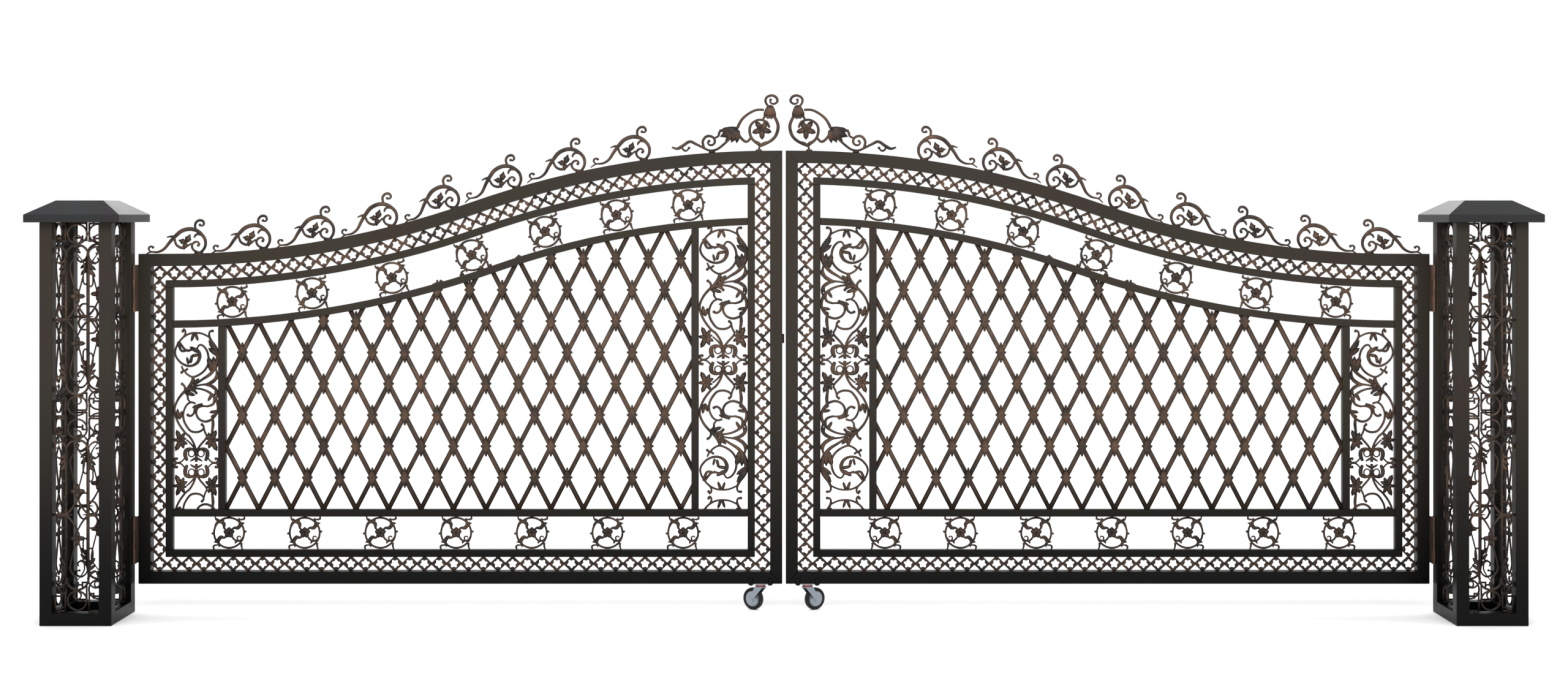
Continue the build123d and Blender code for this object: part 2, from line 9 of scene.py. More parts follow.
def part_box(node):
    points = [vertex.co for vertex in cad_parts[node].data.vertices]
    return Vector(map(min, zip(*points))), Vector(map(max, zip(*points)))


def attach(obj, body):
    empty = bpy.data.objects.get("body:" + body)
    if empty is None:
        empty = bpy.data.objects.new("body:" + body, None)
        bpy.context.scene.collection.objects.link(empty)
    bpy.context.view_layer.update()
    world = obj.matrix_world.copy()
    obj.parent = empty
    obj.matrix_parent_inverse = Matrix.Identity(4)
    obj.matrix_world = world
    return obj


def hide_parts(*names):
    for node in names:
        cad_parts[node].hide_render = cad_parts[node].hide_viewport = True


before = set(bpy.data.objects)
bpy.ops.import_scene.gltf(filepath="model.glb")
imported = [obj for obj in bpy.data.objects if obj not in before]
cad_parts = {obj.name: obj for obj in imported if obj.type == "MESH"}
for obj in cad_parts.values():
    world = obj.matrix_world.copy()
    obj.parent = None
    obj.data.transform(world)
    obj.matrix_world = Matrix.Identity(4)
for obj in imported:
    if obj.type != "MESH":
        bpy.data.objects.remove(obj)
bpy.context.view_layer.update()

# Studio. A plain pale floor, a soft white surround, a broad lamp high in front of the
# gate and a weaker one behind it. The camera stands level, well back from the middle.
scene = bpy.context.scene
scene.view_settings.view_transform = "Standard"

stile_low, stile_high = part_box("left_meeting_stile")
gate_middle = (stile_high.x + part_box("right_meeting_stile")[0].x) / 2
leaf_front = stile_low.y
eye_height = 1.62
eye_distance = 7.95
focal_pixels = 3179
picture_width = 2560
picture_height = 1098
horizon_row = 350

camera_data = bpy.data.cameras.new("camera")
camera_data.sensor_width = 36
camera_data.lens = focal_pixels / picture_width * camera_data.sensor_width
camera_data.shift_y = (horizon_row - picture_height / 2) / picture_width
camera_data.clip_end = 100
camera = bpy.data.objects.new("camera", camera_data)
camera.location = (gate_middle, leaf_front - eye_distance, eye_height)
camera.rotation_euler = (pi / 2, 0, 0)
scene.collection.objects.link(camera)
scene.camera = camera


def set_inputs(tree, node, values):
    """Fills a node's inputs: a socket is linked to its input, any other value is set."""
    for name, value in values.items():
        if isinstance(value, bpy.types.NodeSocket):
            tree.links.new(value, node.inputs[name])
        else:
            node.inputs[name].default_value = value


def add_node(tree, kind, values, **settings):
    """Adds a node; its settings are made before its inputs are filled."""
    node = tree.nodes.new(kind)
    for setting, value in settings.items():
        setattr(node, setting, value)
    set_inputs(tree, node, values)
    return node


def new_material(name, values):
    """A material, its node tree and its Principled shader, whose inputs get `values`."""
    material = bpy.data.materials.new(name)
    material.use_nodes = True
    tree = material.node_tree
    shader = tree.nodes["Principled BSDF"]
    set_inputs(tree, shader, values)
    return material, tree, shader


def white_for_camera(tree, shader, output_socket):
    """Shows plain white to the camera and in reflections, and `shader` to all other rays."""
    path = add_node(tree, "ShaderNodeLightPath", {}).outputs
    mirrored_or_clear = add_node(
        tree, "ShaderNodeMath", {0: path["Is Glossy Ray"], 1: path["Is Transmission Ray"]},
        operation="MAXIMUM",
    )
    seen = add_node(
        tree, "ShaderNodeMath", {0: path["Is Camera Ray"], 1: mirrored_or_clear.outputs[0]},
        operation="MAXIMUM",
    )
    white = add_node(tree, "ShaderNodeBackground", {"Color": (1, 1, 1, 1), "Strength": 1})
    mix = add_node(
        tree, "ShaderNodeMixShader", {0: seen.outputs[0], 1: shader, 2: white.outputs[0]}
    )
    tree.links.new(mix.outputs[0], output_socket)


world = bpy.data.worlds.new("surround")
world.use_nodes = True
scene.world = world
world_tree = world.node_tree
sky_strength = 1.03
sky = world_tree.nodes["Background"]
set_inputs(world_tree, sky, {"Color": (1, 1, 1, 1), "Strength": sky_strength})
white_for_camera(world_tree, sky.outputs[0], world_tree.nodes["World Output"].inputs["Surface"])

floor_mesh = bpy.data.meshes.new("floor")
floor_build = bmesh.new()
floor_size = 30
bmesh.ops.create_grid(floor_build, x_segments=1, y_segments=1, size=floor_size)
bmesh.ops.translate(floor_build, verts=floor_build.verts, vec=(gate_middle, 0, 0))
floor_build.to_mesh(floor_mesh)
floor_build.free()
floor = bpy.data.objects.new("floor", floor_mesh)
scene.collection.objects.link(floor)
floor_material = new_material("pale_floor", {
    "Base Color": (0.98, 0.98, 0.98, 1), "Roughness": 0.9, "Specular IOR Level": 0.1,
})[0]
floor_mesh.materials.append(floor_material)


def soft_lamp(name, place, aim, width, height, power):
    """A rectangular lamp at `place` that points at `aim`."""
    data = bpy.data.lights.new(name, "AREA")
    data.shape = "RECTANGLE"
    data.size = width
    data.size_y = height
    data.energy = power
    lamp = bpy.data.objects.new(name, data)
    lamp.location = place
    lamp.rotation_euler = (Vector(aim) - Vector(place)).to_track_quat("-Z", "Y").to_euler()
    scene.collection.objects.link(lamp)


soft_lamp(
    "front_lamp", place=(gate_middle, -4.2, 4.2), aim=(gate_middle, 0, 1.2),
    width=9.0, height=2.0, power=260,
)
soft_lamp(
    "back_lamp", place=(gate_middle, 4.5, 4.0), aim=(gate_middle, 0, 1.0),
    width=8.0, height=2.0, power=160,
)


# Square tube. Both leaves and both posts are welded from square steel tube whose corners
# are rolled to a small radius, painted satin bronze-brown. Painted shade darkens the paint
# towards the foot.
def fine_grain(tree, place, scale, detail, strength, distance):
    """The normal of a surface with a fine sprayed or cast grain."""
    grain = add_node(
        tree, "ShaderNodeTexNoise", {"Scale": scale, "Detail": detail, "Vector": place}
    )
    bump = add_node(tree, "ShaderNodeBump", {
        "Strength": strength, "Distance": distance, "Height": grain.outputs["Fac"],
    })
    return bump.outputs["Normal"]


def shaded_paint_material(name, lit_colour, shaded_colour, roughness, full_shade_height, no_shade_height):
    """Satin paint with painted shade: a lit colour higher up that darkens to a shaded one near the
    ground.
    """
    material, tree, shader = new_material(name, {"Specular IOR Level": 0.09})
    place = add_node(tree, "ShaderNodeTexCoord", {}).outputs["Object"]
    axes = add_node(tree, "ShaderNodeSeparateXYZ", {0: place})
    # Painted shade: the colour darkens towards the ground, where the light falls off.
    height = add_node(tree, "ShaderNodeMapRange", {
        "From Min": full_shade_height, "From Max": no_shade_height, "Value": axes.outputs["Z"],
    }, interpolation_type="SMOOTHSTEP")
    cloud = add_node(tree, "ShaderNodeTexNoise", {"Scale": 3.5, "Detail": 5, "Vector": place})
    shade_ramp = add_node(tree, "ShaderNodeMix", {
        "A": (*shaded_colour, 1), "B": (*lit_colour, 1), "Factor": height.outputs["Result"],
    }, data_type="RGBA")
    tint = add_node(tree, "ShaderNodeMix", {
        "A": shade_ramp.outputs["Result"], "B": cloud.outputs["Color"], "Factor": 0.35,
    }, data_type="RGBA", blend_type="MULTIPLY")
    gloss = add_node(tree, "ShaderNodeMapRange", {
        "To Min": roughness - 0.06, "To Max": roughness + 0.08, "Value": cloud.outputs["Fac"],
    })
    set_inputs(tree, shader, {
        "Base Color": tint.outputs["Result"], "Roughness": gloss.outputs["Result"],
        "Normal": fine_grain(tree, place, 420, 2, 0.12, 0.0004),
    })
    return material


# The tube paint, with painted shade that is near black at the foot.
bronze_paint = shaded_paint_material(
    "bronze_paint", (0.034, 0.028, 0.022), (0.002, 0.002, 0.002), 0.36, 0.05, 1.15
)
tube_corner = 0.003
sides = ("left", "right")


def sharp_edges(edges, angle):
    """The edges whose two faces meet at more than `angle` degrees."""
    return [edge for edge in edges if edge.calc_face_angle(0) > radians(angle)]


def round_edges(build, edges, radius, clamped):
    """Rolls edges to a radius."""
    bmesh.ops.bevel(
        build, geom=edges, offset=radius, offset_type="OFFSET", segments=2, profile=0.5,
        affect="EDGES", clamp_overlap=clamped, material=-1,
    )


def round_corners(node, name, radius, material, body):
    """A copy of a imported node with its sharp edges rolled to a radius, in its place."""
    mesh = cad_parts[node].data.copy()
    build = bmesh.new()
    build.from_mesh(mesh)
    bmesh.ops.remove_doubles(build, verts=build.verts, dist=0.00002)
    flat = radians(1)
    bmesh.ops.dissolve_limit(build, angle_limit=flat, verts=build.verts, edges=build.edges)
    round_edges(build, sharp_edges(build.edges, 25), radius, True)
    for face in build.faces:
        face.smooth = True
    build.to_mesh(mesh)
    build.free()
    mesh.materials.clear()
    mesh.materials.append(material)
    piece = bpy.data.objects.new(name, mesh)
    scene.collection.objects.link(piece)
    keep_flat = piece.modifiers.new("keep_flat", "WEIGHTED_NORMAL")
    keep_flat.keep_sharp = True
    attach(piece, body)
    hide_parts(node)


for side in sides:
    round_corners(
        f"{side}_post_frame", f"{side}_post_tubes", tube_corner, bronze_paint,
        "posts",
    )


# Post caps. Each is folded from sheet: a square fascia, four sloping sides and a small
# flat top, painted a cooler charcoal with soft folded edges, with painted shade darker lower down.
# The cap paint, with painted shade darker lower down.
cap_paint = shaded_paint_material(
    "cap_paint", (0.026, 0.026, 0.028), (0.012, 0.012, 0.012), 0.32, 0.0, 1.6
)
cap_fold = 0.0025
for side in sides:
    round_corners(
        f"{side}_post_cap", f"{side}_cap_sheet", cap_fold, cap_paint, "posts"
    )


# Post sides. Between the corner tubes stand cast openwork panels, two units high, of ovals,
# scrolls, flowers and frets. They are black castings with copper rubbed on, welded in; painted
# shade darkens them towards the foot.
def shaded_casting_material(name, dark, copper, amount, roughness):
    """Near-black paint with copper rubbed over what faces out of the casting, and painted shade
    that darkens it towards the ground.
    """
    material, tree, shader = new_material(name, {"Specular IOR Level": 0.2})
    coords = add_node(tree, "ShaderNodeTexCoord", {}).outputs
    facing = add_node(tree, "ShaderNodeSeparateXYZ", {0: coords["Normal"]})
    out = add_node(tree, "ShaderNodeMath", {0: facing.outputs["Y"]}, operation="ABSOLUTE")
    ridge = add_node(tree, "ShaderNodeMapRange", {
        "From Min": 0.55, "From Max": 0.97, "Value": out.outputs[0],
    }, interpolation_type="SMOOTHSTEP")
    patch = add_node(tree, "ShaderNodeTexNoise", {
        "Scale": 14, "Detail": 6, "Roughness": 0.65, "Vector": coords["Object"],
    })
    rubbed = add_node(tree, "ShaderNodeMapRange", {
        "From Min": 0.38, "From Max": 0.68, "Value": patch.outputs["Fac"],
    })
    both = add_node(tree, "ShaderNodeMath", {
        0: ridge.outputs["Result"], 1: rubbed.outputs["Result"],
    }, operation="MULTIPLY")
    share = add_node(tree, "ShaderNodeMath", {0: both.outputs[0], 1: amount}, operation="MULTIPLY")
    colour = add_node(tree, "ShaderNodeMix", {
        "A": (*dark, 1), "B": (*copper, 1), "Factor": share.outputs[0],
    }, data_type="RGBA")
    # Painted shade: the colour is darkened towards the ground, down to 0.4 at the floor, where the
    # light falls off.
    axes = add_node(tree, "ShaderNodeSeparateXYZ", {0: coords["Object"]})
    shade = add_node(tree, "ShaderNodeMapRange", {
        "From Max": 0.9, "To Min": 0.4, "Value": axes.outputs["Z"],
    }, interpolation_type="SMOOTHSTEP")
    shade_darkened = add_node(tree, "ShaderNodeMix", {
        "A": colour.outputs["Result"], "B": shade.outputs["Result"], "Factor": 1,
    }, data_type="RGBA", blend_type="MULTIPLY")
    gloss = add_node(tree, "ShaderNodeMapRange", {
        "To Min": roughness + 0.1, "To Max": roughness - 0.08, "Value": patch.outputs["Fac"],
    })
    set_inputs(tree, shader, {
        "Base Color": shade_darkened.outputs["Result"], "Roughness": gloss.outputs["Result"],
        "Normal": fine_grain(tree, coords["Object"], 260, 3, 0.35, 0.0006),
    })
    return material


# The castings' paint, with painted shade towards the foot.
casting_paint_and_shade = shaded_casting_material(
    "casting_paint_and_shade", (0.016, 0.013, 0.011), (0.185, 0.095, 0.052), 0.52, 0.38
)
mm = 0.001
bar_fullness = 1.28
deepest_section = 1.6
half_turn = Matrix.Rotation(pi, 4, "Y")


def smooth_line(points, steps):
    """Points in metres along a smooth curve through points given in millimetres (x, z)."""
    knots = [Vector((x * mm, 0, z * mm)) for x, z in points]
    line = []
    for index in range(len(knots) - 1):
        here, there = knots[index], knots[index + 1]
        before = knots[max(index - 1, 0)]
        after = knots[min(index + 2, len(knots) - 1)]
        first = here + (there - before) / 6
        second = there - (after - here) / 6
        line += interpolate_bezier(here, first, second, there, steps + 1)[:-1]
    return line + [knots[-1]]


def edges_of(verts):
    """Every edge that meets one of the vertices, once."""
    return list({edge for vert in verts for edge in vert.link_edges})


def verts_in(geometry):
    """The vertices among what a bmesh operator gives back."""
    return [item for item in geometry if isinstance(item, bmesh.types.BMVert)]


def spin_round(build, loop, steps):
    """Spins a closed loop of vertices once round the Y axis."""
    bmesh.ops.spin(
        build, geom=loop + edges_of(loop), cent=(0, 0, 0), axis=(0, 1, 0), angle=tau,
        steps=steps, use_merge=True,
    )


def cast_bar(
    build, points, widths, depth, steps=4, sides=8, offset=0.0, fullness=bar_fullness
):
    """Casts a rounded bar along a line; `widths` in millimetres go evenly from end to end."""
    line = smooth_line(points, steps)
    last = len(line) - 1
    loop = bmesh.ops.create_circle(build, cap_ends=False, segments=sides, radius=0.5)["verts"]
    edges = edges_of(loop)
    start = Matrix.Identity(4)
    ends = []
    for index, place in enumerate(line):
        before, after = line[max(index - 1, 0)], line[min(index + 1, last)]
        heading = atan2(after.z - before.z, after.x - before.x)
        share = index / last * (len(widths) - 1)
        low = min(int(share), len(widths) - 2)
        width = widths[low] + (widths[low + 1] - widths[low]) * (share - low)
        width *= fullness * mm
        thick = min(depth * mm, deepest_section * width)
        lift = Vector((0, offset * mm, 0))
        turn = Matrix.Rotation(-heading, 4, "Y") @ Matrix.Rotation(pi / 2, 4, "Y")
        size = Matrix.Diagonal((width, thick, 1, 1))
        target = Matrix.Translation(place + lift) @ turn @ size
        if index > 0:
            grown = bmesh.ops.extrude_edge_only(build, edges=edges)["geom"]
            loop = verts_in(grown)
            edges = [item for item in grown if isinstance(item, bmesh.types.BMEdge)]
        bmesh.ops.transform(build, matrix=target @ start.inverted(), verts=loop)
        start = target
        if index in (0, last):
            ends.append(edges)
    for rim in ends:
        bmesh.ops.edgeloop_fill(build, edges=rim)


def cast_ring(build, centre, radius, width, depth, segments=24):
    """Casts a round ring; sizes in millimetres."""
    section = bmesh.ops.create_circle(build, cap_ends=False, segments=8, radius=0.5)["verts"]
    bmesh.ops.scale(build, vec=(width * mm, depth * mm, 1), verts=section)
    bmesh.ops.translate(build, vec=(radius * mm, 0, 0), verts=section)
    before = set(build.verts) - set(section)
    spin_round(build, section, segments)
    ring = [vert for vert in build.verts if vert not in before]
    bmesh.ops.translate(build, vec=(centre[0] * mm, 0, centre[1] * mm), verts=ring)


def cast_leaf(build, centre, reach, turn, lobes, depth, slim=0.6):
    """Casts a lobed leaf that points from its foot at `centre` towards `turn` degrees."""
    vein_share = 0.42
    lobe_share = 0.16
    edge_share = 0.35
    dome_share = 0.33
    fan = bmesh.ops.create_circle(
        build, cap_ends=True, cap_tris=True, segments=4 * lobes + 4, radius=1
    )["verts"]
    middle = max(fan, key=lambda vert: len(vert.link_edges))
    for vert in fan:
        if vert is middle:
            vert.co = (vein_share * reach * mm, 0, 0)
            continue
        angle = atan2(vert.co.y, vert.co.x)
        lobed = 1 + lobe_share * cos(2 * lobes * angle)
        along = 0.5 + 0.5 * cos(angle)
        vert.co = (along * reach * lobed * mm, 0, slim * sin(angle) * 0.5 * reach * lobed * mm)
    faces = list({face for vert in fan for face in vert.link_faces})
    back = verts_in(bmesh.ops.extrude_face_region(build, geom=faces)["geom"])
    bmesh.ops.translate(build, vec=(0, edge_share * depth * mm, 0), verts=back)
    both = fan + back
    bmesh.ops.translate(build, vec=(0, -edge_share / 2 * depth * mm, 0), verts=both)
    for vert in both:
        if len(vert.link_edges) > 6:
            vert.co.y += (dome_share if vert.co.y > 0 else -dome_share) * depth * mm
    place = Matrix.Translation((centre[0] * mm, 0, centre[1] * mm))
    spin = Matrix.Rotation(-radians(turn), 4, "Y")
    bmesh.ops.transform(build, matrix=place @ spin, verts=both)


def cast_bead(build, centre, radius, depth):
    """Casts a flattened ball; sizes in millimetres."""
    bead = bmesh.ops.create_uvsphere(build, u_segments=8, v_segments=6, radius=1)["verts"]
    bmesh.ops.scale(build, vec=(radius * mm, depth / 2 * mm, radius * mm), verts=bead)
    bmesh.ops.translate(build, vec=(centre[0] * mm, 0, centre[1] * mm), verts=bead)


def cast_star(build, centre, petals, reach, depth, start=90.0, slim=0.85):
    """Casts a flower of pointed petals about a bead."""
    for petal in range(petals):
        cast_leaf(build, centre, reach, start + 360 * petal / petals, 1, depth, slim)
    cast_bead(build, centre, 0.26 * reach, 1.5 * depth)


def cast_beads(build, places, radius, depth):
    """Casts one bead at each place."""
    for place in places:
        cast_bead(build, place, radius, depth)


def add_copies(build, mesh, matrices):
    """Adds one copy of a mesh to a bmesh for each matrix."""
    for matrix in matrices:
        before = set(build.verts)
        build.from_mesh(mesh)
        added = [vert for vert in build.verts if vert not in before]
        bmesh.ops.transform(build, matrix=matrix, verts=added)


def finish_mesh(build, name, smooth=True):
    """Turns a bmesh into a mesh with its faces pointing outwards."""
    bmesh.ops.recalc_face_normals(build, faces=build.faces)
    for face in build.faces:
        face.smooth = smooth
    mesh = bpy.data.meshes.new(name)
    build.to_mesh(mesh)
    build.free()
    return mesh


def copies_mesh(name, parts):
    """One mesh from (mesh, matrices) pairs."""
    build = bmesh.new()
    for mesh, matrices in parts:
        add_copies(build, mesh, matrices)
    return finish_mesh(build, name)


def fit_pair(mesh, name, node, materials, body):
    """Hangs a left-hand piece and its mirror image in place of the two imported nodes."""
    for material in materials:
        mesh.materials.append(material)
    twin = mesh.copy()
    flip = Matrix.Translation((2 * gate_middle, 0, 0)) @ Matrix.Scale(-1, 4, (1, 0, 0))
    twin.transform(flip)
    twin.flip_normals()
    for side, data in (("left", mesh), ("right", twin)):
        piece = bpy.data.objects.new(f"{side}_{name}", data)
        scene.collection.objects.link(piece)
        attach(piece, body if body == "posts" else f"{side}_{body}")
        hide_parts(f"{side}_{node}")


def mirrored(points):
    """The same points on the other side of the upright middle line."""
    return [(-x, z) for x, z in points]


def fit_castings(mesh, name, node, body="leaf"):
    """Hangs a pair of black castings with copper rubbed on."""
    fit_pair(mesh, name, node, [casting_paint_and_shade], body)


panel_bar = 7.5
panel_depth = 11
oval_half_width = 44
oval_half_height = 296
half = bmesh.new()
cast_ring(half, (0, 339), 38, panel_bar, panel_depth)
cast_ring(half, (0, 318), 15, 6, panel_depth, 16)
spear = [(0, 259), (24, 225), (27, 195), (9, 120), (0, 93)]
for points in (spear, mirrored(spear)):
    cast_bar(half, points, [3, 5, 5, 4], 8)
cast_star(half, (0, 93), 4, 27, 12, 90)
cast_leaf(half, (0, 262), 26, 90, 2, 9)
tail = [(0, 64), (-17, 32), (-40, 6), (-69, 4), (-80, 26), (-67, 50), (-46, 51), (-40, 38)]
upper_curl = [(-40, 248), (-49, 274), (-69, 288), (-87, 280), (-88, 266), (-78, 263)]
lower_curl = [(-46, 248), (-58, 228), (-75, 225), (-84, 236), (-78, 245)]
drop = [(-61, 172), (-61, 143), (-52, 131), (-43, 143)]
for side in (1, -1):
    turned = mirrored if side > 0 else list
    for points, widths in (
        (tail, [5, 8, 7, 4]), (upper_curl, [4, 7, 4]), (lower_curl, [4, 6, 4]), (drop, [5, 5]),
    ):
        cast_bar(half, turned(points), widths, panel_depth - 2)
    for points in (
        [(-90, 380), (-46, 380)], [(-47, 383), (-47, 308)], [(-67, 311), (-44, 311)],
        [(-64, 331), (-64, 309)], [(-90, 321), (-62, 321)], [(-87, 383), (-87, 319)],
        [(-64, 385), (-64, 378)],
    ):
        cast_bar(half, turned(points), [6, 6], 9, 1)
    for foot, reach, fan in ((236, 29, 211), (219, 32, 220), (201, 36, 231)):
        cast_leaf(half, (side * -45, foot), reach, fan if side > 0 else 180 - fan, 1, 10, 0.5)
    cast_bar(half, [(side * -45, 250), (side * -48, 215), (side * -51, 178)], [6, 8, 5], 9)
    cast_beads(half, [(side * -76, 262), (side * -42, 40)], 5, 10)
unit_half = finish_mesh(half, "panel_half_unit")
middle = bmesh.new()
straight = oval_half_height - oval_half_width
oval = []
for step in range(9):
    angle = pi * step / 8
    oval.append((oval_half_width * cos(angle), straight + oval_half_width * sin(angle)))
for points in (
    oval, [(x, -z) for x, z in oval],
    [(-oval_half_width, straight), (-oval_half_width, -straight)],
    [(oval_half_width, straight), (oval_half_width, -straight)],
):
    cast_bar(middle, points, [panel_bar, panel_bar], panel_depth, 2)
side_tie = [(-92, 0), (-55, 0), (-20, 0)]
for points in (side_tie, mirrored(side_tie)):
    cast_bar(middle, points, [8, 9, 2], panel_depth)
    cast_bead(middle, points[1], 8, 14)
unit_middle = finish_mesh(middle, "panel_unit_middle")
frame_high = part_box("left_post_frame")[1]
post_half = frame_high.x
tube_width = 0.050
panel_plane = post_half - tube_width / 2
panel_foot = tube_width
unit_height = (frame_high.z - panel_foot) / 2
panel_places = []
middle_places = []
for quarter in range(4):
    face = Matrix.Rotation(quarter * pi / 2, 4, "Z") @ Matrix.Translation((0, -panel_plane, 0))
    for storey in range(2):
        lift = Matrix.Translation((0, 0, panel_foot + (storey + 0.5) * unit_height))
        panel_places += [face @ lift, face @ lift @ half_turn]
        middle_places.append(face @ lift)
post_panels = copies_mesh(
    "post_panels", [(unit_half, panel_places), (unit_middle, middle_places)]
)
fit_castings(post_panels, "post_castings", "post_panels", "posts")


# Hinge halves on the posts. Each of the two hinges a leaf has is a flat steel plate with
# two knuckles and the pin, screwed to the post's tube and painted, with copper rubbed through.
# The hinge paint, with the same painted shade towards the foot.
hinge_paint_and_shade = shaded_casting_material(
    "hinge_paint_and_shade", (0.07, 0.042, 0.03), (0.26, 0.13, 0.07), 0.7, 0.36
)
low_hinge, high_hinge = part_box("left_post_hinge_halves")
hinge_x = (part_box("left_hinge_stile")[0].x + post_half) / 2
hinge_y = low_hinge.y + (hinge_x - low_hinge.x)
hinge_length = 0.190
hinge_bottoms = (low_hinge.z, high_hinge.z - hinge_length)
knuckle = 0.0056
knuckle_share = 0.32
knuckle_gap = 0.0004
knuckle_clearance = 0.0009
pin_radius = 0.0029
arm_front = 0.001
arm_overlap = 0.004
plate_thickness = 0.003
plate_play = 0.0003
plate_width = 0.040
screw_line = 0.6
screw_shares = (0.14, 0.38, 0.62, 0.86)
screw_radius = 0.0035
screw_height = 0.0008


def add_box(build, low, high, edge=0.0006):
    """Adds a box with slightly rounded edges between two corners."""
    size = Vector(high) - Vector(low)
    centre = (Vector(high) + Vector(low)) / 2
    place = Matrix.Translation(centre) @ Matrix.Diagonal((*size, 1))
    verts = bmesh.ops.create_cube(build, size=1, matrix=place)["verts"]
    round_edges(build, edges_of(verts), edge, False)


def add_drum(build, centre, radius, length, axis="Z", segments=24, edge=0.0005):
    """Adds a round bar about `centre` with slightly rounded rims."""
    turns = {"X": Matrix.Rotation(pi / 2, 4, "Y"), "Y": Matrix.Rotation(pi / 2, 4, "X")}
    place = Matrix.Translation(centre) @ turns.get(axis, Matrix.Identity(4))
    verts = bmesh.ops.create_cone(
        build, cap_ends=True, segments=segments, radius1=radius, radius2=radius, depth=length,
        matrix=place,
    )["verts"]
    round_edges(build, sharp_edges(edges_of(verts), 60), edge, False)


def hinge_mesh(name, side):
    """Both hinge halves on one side of the pins: -1 for the post's, 1 for the stile's."""
    build = bmesh.new()
    end = knuckle_share * hinge_length
    middle_length = hinge_length - 2 * end
    for bottom in hinge_bottoms:
        near = hinge_x + side * knuckle
        far = near - side * (plate_thickness - plate_play)
        ends = [(bottom, end), (bottom + hinge_length - end, end)]
        between = [(bottom + end + knuckle_gap, middle_length - 2 * knuckle_gap)]
        back = hinge_y + (knuckle + knuckle_clearance)
        add_box(
            build, (min(near, far), back, bottom),
            (max(near, far), hinge_y + plate_width, bottom + hinge_length),
        )
        for start, length in ends if side < 0 else between:
            add_drum(build, (hinge_x, hinge_y, start + length / 2), knuckle, length)
            add_box(
                build, (min(near, far), hinge_y - arm_front, start),
                (max(near, far), back + arm_overlap, start + length),
            )
        if side < 0:
            pin = (hinge_x, hinge_y, bottom + hinge_length / 2)
            add_drum(build, pin, pin_radius, hinge_length)
        for share in screw_shares:
            screw = (near, hinge_y + screw_line * plate_width, bottom + share * hinge_length)
            add_drum(build, screw, screw_radius, screw_height, "X", 12, 0.0002)
    return finish_mesh(build, name)


fit_pair(
    hinge_mesh("post_hinges", -1), "post_hinges", "post_hinge_halves", [hinge_paint_and_shade],
    "posts",
)


# Leaf frame. Stiles, rails and mullions of square tube, mitred and welded: an outer frame
# of heavier tube, and inside it a lighter one that carries the castings and the lattice.
leaf_tubes = [
    "hinge_stile", "meeting_stile", "bottom_rail", "top_rail", "inner_stiles", "inner_rails",
    "panel_rails", "mullions",
]
for side in sides:
    for tube in leaf_tubes:
        round_corners(
            f"{side}_{tube}", f"{side}_{tube}_tube", tube_corner, bronze_paint,
            f"{side}_leaf",
        )


# Diamond bands. Strips of cast diamonds run all round each leaf between its outer and
# inner tubes; every diamond is pierced by a five-lobed star and joined to the next at its point.
leaf_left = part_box("left_hinge_stile")[0].x
leaf_plane = (stile_low.y + stile_high.y) / 2
outer_tube = 0.050
inner_tube = 0.030
band_gap = 0.0575
meeting_band_gap = 0.062
rosette_gap = 0.135
band_depth = 0.012
diamond_pitch = 0.060
strip_links = 5
curve_start = 0.120
curve_end_margin = 0.033
hinge_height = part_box("left_hinge_stile")[1].z
meeting_height = stile_high.z
leaf_bottom = stile_low.z
leaf_width = stile_high.x - leaf_left
curve_end = leaf_width - curve_end_margin
curve_run = curve_end - curve_start
curve_climb = meeting_height - hinge_height
curve_radius = (curve_run**2 + curve_climb**2) / (4 * curve_climb)
curve_turn = asin(curve_run / (2 * curve_radius))
arc_length = curve_radius * curve_turn


def top_point(run, below):
    """Leaf point (across, height) at `run` along the top edge and `below` under it."""
    if run < curve_start:
        return Vector((run, hinge_height - below))
    run -= curve_start
    if run < arc_length:
        angle = run / curve_radius
        radius = curve_radius + below
        low_centre = hinge_height + curve_radius
        return Vector((curve_start + radius * sin(angle), low_centre - radius * cos(angle)))
    run -= arc_length
    if run < arc_length:
        angle = curve_turn - run / curve_radius
        radius = curve_radius - below
        high_centre = meeting_height - curve_radius
        return Vector((curve_end - radius * sin(angle), high_centre + radius * cos(angle)))
    return Vector((curve_end + run - arc_length, meeting_height - below))


def run_at(across):
    """Run along the top edge to the point `across` from the hinge end."""
    if across < curve_start:
        return across
    if across < (curve_start + curve_end) / 2:
        return curve_start + curve_radius * asin((across - curve_start) / curve_radius)
    if across < curve_end:
        back = curve_radius * asin((curve_end - across) / curve_radius)
        return curve_start + 2 * arc_length - back
    return curve_start + 2 * arc_length + across - curve_end


def leaf_matrix(across, height, turn=0.0):
    """Places a flat casting, modelled about its own origin, in the left leaf's plane."""
    place = Matrix.Translation((leaf_left + across, leaf_plane, height))
    return place @ Matrix.Rotation(-turn, 4, "Y")


def on_curve(run, below):
    """Places a casting on a line parallel to the top edge, turned to its slope."""
    step = top_point(run + 0.001, 0) - top_point(run, 0)
    point = top_point(run, below)
    return leaf_matrix(point.x, point.y, atan2(step.y, step.x))


